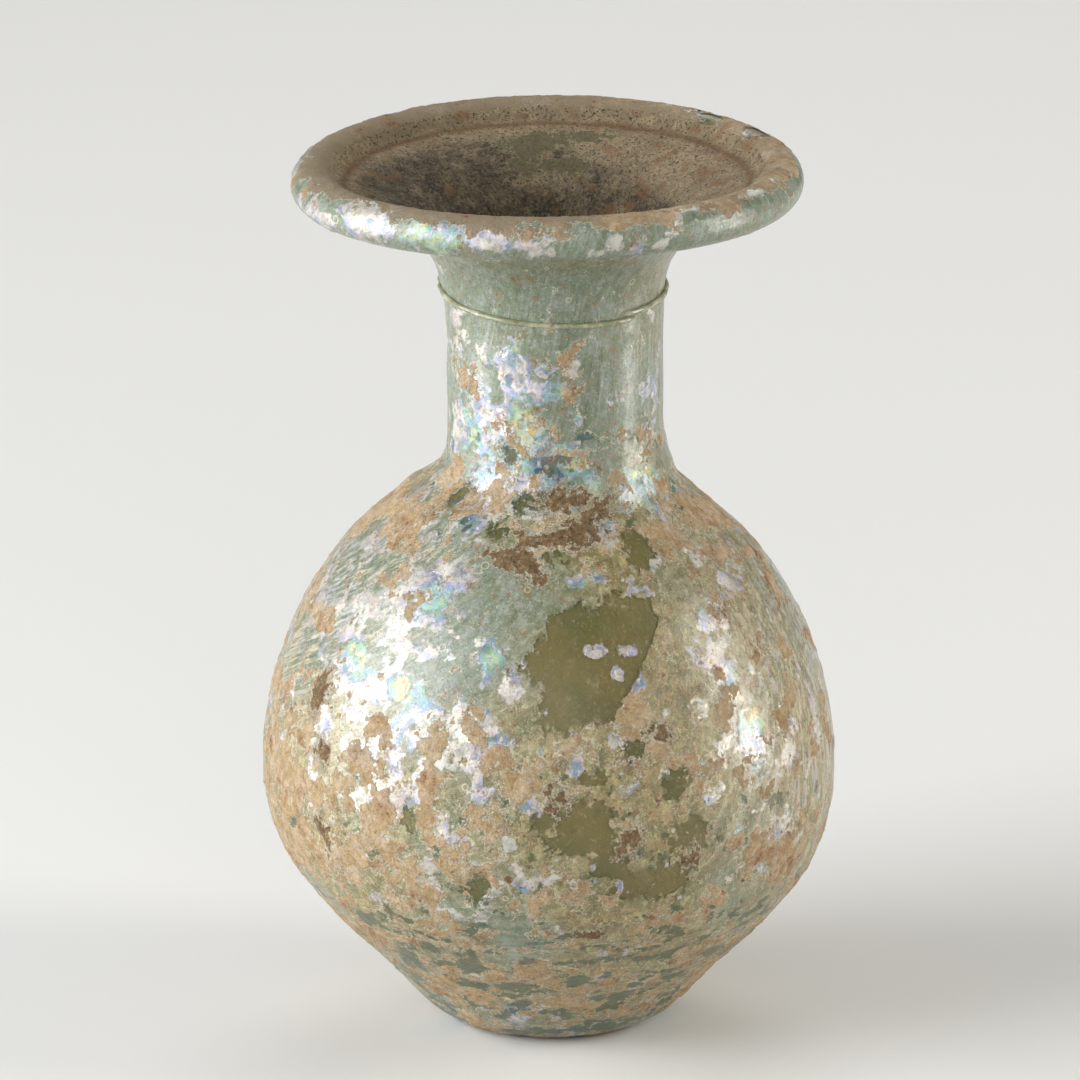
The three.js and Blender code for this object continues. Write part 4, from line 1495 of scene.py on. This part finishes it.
@dataclass
class Thread:
    """The fine thread of glass trailed once round the top of the neck, with an overlap."""

    form: FlaskForm
    tree: bpy.types.NodeTree
    material: bpy.types.Material
    radius: float = 0.42
    stands_out: float = 0.3
    height: float = 102
    tilt: float = 1.14
    low_side: float = 23
    drop: float = 0.95
    start: float = 31
    sweep: float = 382
    melt: float = 0.035
    steps: int = 420
    sides: int = 10
    seed: int = 5

    def build(self) -> bpy.types.Object:
        """Makes the thread."""
        form = self.form
        share = np.linspace(0, 1, self.steps)
        turn = np.radians(self.start + self.sweep * share)
        height = self.height - self.tilt * np.cos(turn - math.radians(self.low_side)) + self.drop * (0.5 - share)
        sunk = ease(np.minimum(share, 1 - share), 0, self.melt)
        wall = np.array([form.at(np.array([form.find(Zone.WALL, z)]))[0][0, 0] for z in height])
        uneven = Lattice(self.seed).layered(np.stack([18 * np.sin(turn), 18 * np.cos(turn), 9 * share], axis=1), 5, 3)
        thick = self.radius * (0.84 + 0.16 * uneven)
        radius = wall - form.inset + self.stands_out - 2 * self.radius * (1 - sunk) - 0.16 * (1 - ease(uneven, -0.6, 0.2))
        place = form.settle(np.stack([radius * np.sin(turn), -radius * np.cos(turn), height], axis=1))
        path = bpy.data.meshes.new("thread_path")
        path.from_pydata((place * form.unit).tolist(), [(i, i + 1) for i in range(self.steps - 1)], [])
        attribute = path.attributes.new("thick", "FLOAT", "POINT")
        attribute.data.foreach_set("value", (thick * form.unit).astype(np.float32))
        return dress(grown("trailed_thread", path, self.tree, {"Sides": self.sides, "Material": self.material}))


@dataclass
class SoilGrains:
    """Grains of soil that cling to the crust."""

    tree: bpy.types.NodeTree
    material: bpy.types.Material
    most: float = 500000
    smallest: float = 0.00006
    largest: float = 0.0002

    def build(self, name: str, ground: bpy.types.Object, seed: int) -> bpy.types.Object:
        """Strews the grains over one piece.

        Args:
            name: the name of the new piece.
            ground: the piece that they cling to.
            seed: the number that fixes where they lie.

        Returns:
            The grains as one object.
        """
        inputs = {
            "Most": self.most,
            "Smallest": self.smallest,
            "Largest": self.largest,
            "Seed": seed,
            "Material": self.material,
        }
        return dress(grown(name, ground.data.copy(), self.tree, inputs))


@dataclass
class Flask:
    """The whole flask: glass, the skins on it, the deposits in it, thread and grains."""

    form: FlaskForm
    weathering: Weathering

    def build(self) -> list[bpy.types.Object]:
        """Makes every piece.

        Returns:
            The pieces.
        """
        form = self.form
        effects = Effects()
        glass = OldGlass().build()
        skin = WeatheredSkin(effects).build()
        mouth = MouthCrust(effects).build()
        inside = MouthCrust(effects, "inner_crust", middle=paint(120, 100, 72), light=paint(150, 130, 96)).build()
        turned = turned_wall_tree()
        low = form.find(Zone.WALL, 17)
        belly = form.find(Zone.WALL, 38)
        neck = form.find(Zone.WALL, 77)
        flare = form.find(Zone.WALL, 106)
        groove = form.inner_range[0]
        brim = form.find(Zone.ROLL, 138)
        throat = groove + 34
        bands = [
            TurnedBand("glass_wall", form, turned, glass, 0, form.total, 200, 300, lift=-0.09),
            TurnedBand("skin_foot", form, turned, skin, 0, low, 540, 110, self.weathering),
            TurnedBand("skin_belly", form, turned, skin, low, belly, 720, 88, self.weathering),
            TurnedBand("skin_shoulder", form, turned, skin, belly, neck, 720, 134, self.weathering),
            TurnedBand("skin_neck", form, turned, skin, neck - 0.3, flare, 400, 120, self.weathering),
            TurnedBand("skin_rim", form, turned, skin, flare - 0.2, brim, 640, 106, self.weathering),
            TurnedBand("crust_mouth", form, turned, mouth, brim - 0.3, throat, 420, 106, self.weathering),
            TurnedBand("crust_inside", form, turned, inside, throat - 0.5, form.total, 200, 120, self.weathering),
        ]
        pieces = [band.build() for band in bands]
        pieces.append(Thread(form, trailed_thread_tree(), ThreadGlass().build()).build())
        grains = SoilGrains(strewn_soil_tree(), LooseSoil(effects).build())
        pieces.append(grains.build("soil_grains_foot", pieces[1], 1))
        pieces.append(grains.build("soil_grains_belly", pieces[2], 2))
        pieces.append(grains.build("soil_grains_rim", pieces[5], 3))
        return pieces


# ---------------------------------------------------------------- the studio


@dataclass(frozen=True)
class Studio:
    """A pale floor, soft lights and the camera, with lengths in metres."""

    lens: float = 400
    distance: float = 1.6176
    elevation: float = 16.87
    aim: Vector = Vector((-0.00121, 0, 0.05796))
    rise: float = 0.00814
    floor_size: float = 6.0
    floor_colour: Colour = paint(226, 225, 222)

    def build(self) -> None:
        """Sets everything up."""
        self.camera()
        self.floor()
        self.light("key", (-0.92, -0.3, 0.42), 0.9, 0.7, 16.5, (0.96, 0.98, 1.0))
        self.light("right", (0.9, -0.05, 0.35), 0.35, 0.7, 6.2, (1.0, 0.98, 0.92))
        self.light("low_left", (-0.27, -0.03, 0.055), 0.14, 0.1, 0.3, (0.97, 0.98, 1.0), glint=True)
        self.light("low_right", (0.27, -0.03, 0.055), 0.07, 0.1, 0.24, (1.0, 0.99, 0.95), glint=True)
        self.light("front", (0.1, -1.1, 0.5), 0.7, 0.5, 2.1, (1.0, 1.0, 1.0))
        self.light("back", (0.1, 0.8, 0.7), 0.6, 0.4, 3.0, (1.0, 0.98, 0.95))
        world = bpy.data.worlds.new("studio")
        world.use_nodes = True
        world.node_tree.nodes["Background"].inputs["Color"].default_value = paint(214, 217, 220)
        world.node_tree.nodes["Background"].inputs["Strength"].default_value = 0.28
        bpy.context.scene.world = world
        bpy.context.scene.view_settings.view_transform = "Standard"

    def camera(self) -> None:
        """Places the camera at the long lens's distance, looking down a little."""
        data = bpy.data.cameras.new("camera")
        data.lens = self.lens
        camera = bpy.data.objects.new("camera", data)
        bpy.context.scene.collection.objects.link(camera)
        tip = math.radians(self.elevation)
        forward = Vector((0, math.cos(tip), -math.sin(tip)))
        upward = Vector((0, math.sin(tip), math.cos(tip)))
        camera.location = self.aim - forward * self.distance + upward * self.rise
        camera.rotation_euler = (math.pi / 2 - tip, 0, 0)
        bpy.context.scene.camera = camera

    def floor(self) -> None:
        """Lays the floor at the flask's foot."""
        half = self.floor_size / 2
        mesh = bpy.data.meshes.new("floor")
        mesh.from_pydata([(-half, -half, 0), (half, -half, 0), (half, half, 0), (-half, half, 0)], [], [(0, 1, 2, 3)])
        material, _, shader = new_finish("floor")
        shader.inputs["Base Color"].default_value = self.floor_colour
        shader.inputs["Roughness"].default_value = 0.85
        mesh.materials.append(material)
        piece = bpy.data.objects.new("floor", mesh)
        bpy.context.scene.collection.objects.link(piece)

    def light(
        self,
        name: str,
        spot: tuple[float, float, float],
        wide: float,
        tall: float,
        power: float,
        tint: tuple[float, float, float],
        glint: bool = False,
    ) -> None:
        """Places one soft light that looks at the flask's middle.

        Args:
            name: the light's name.
            spot: where it is.
            wide: its width.
            tall: its height.
            power: its power in watts.
            tint: its colour.
            glint: whether it only adds a highlight.
        """
        data = bpy.data.lights.new(name, "AREA")
        data.shape = "RECTANGLE"
        data.size = wide
        data.size_y = tall
        data.energy = power
        data.color = tint
        lamp = bpy.data.objects.new(name, data)
        bpy.context.scene.collection.objects.link(lamp)
        lamp.location = spot
        lamp.visible_diffuse = not glint
        lamp.rotation_euler = (Vector(spot) - Vector((0, 0, 0.06))).to_track_quat("Z", "Y").to_euler()


def main() -> None:
    """Builds the studio and the flask."""
    logging.basicConfig(level=logging.INFO, format="%(message)s")
    Studio().build()
    form = FlaskForm()
    pieces = Flask(form, Weathering(form)).build()
    LOG.info("%d pieces", len(pieces))


if __name__ == "__main__":
    main()
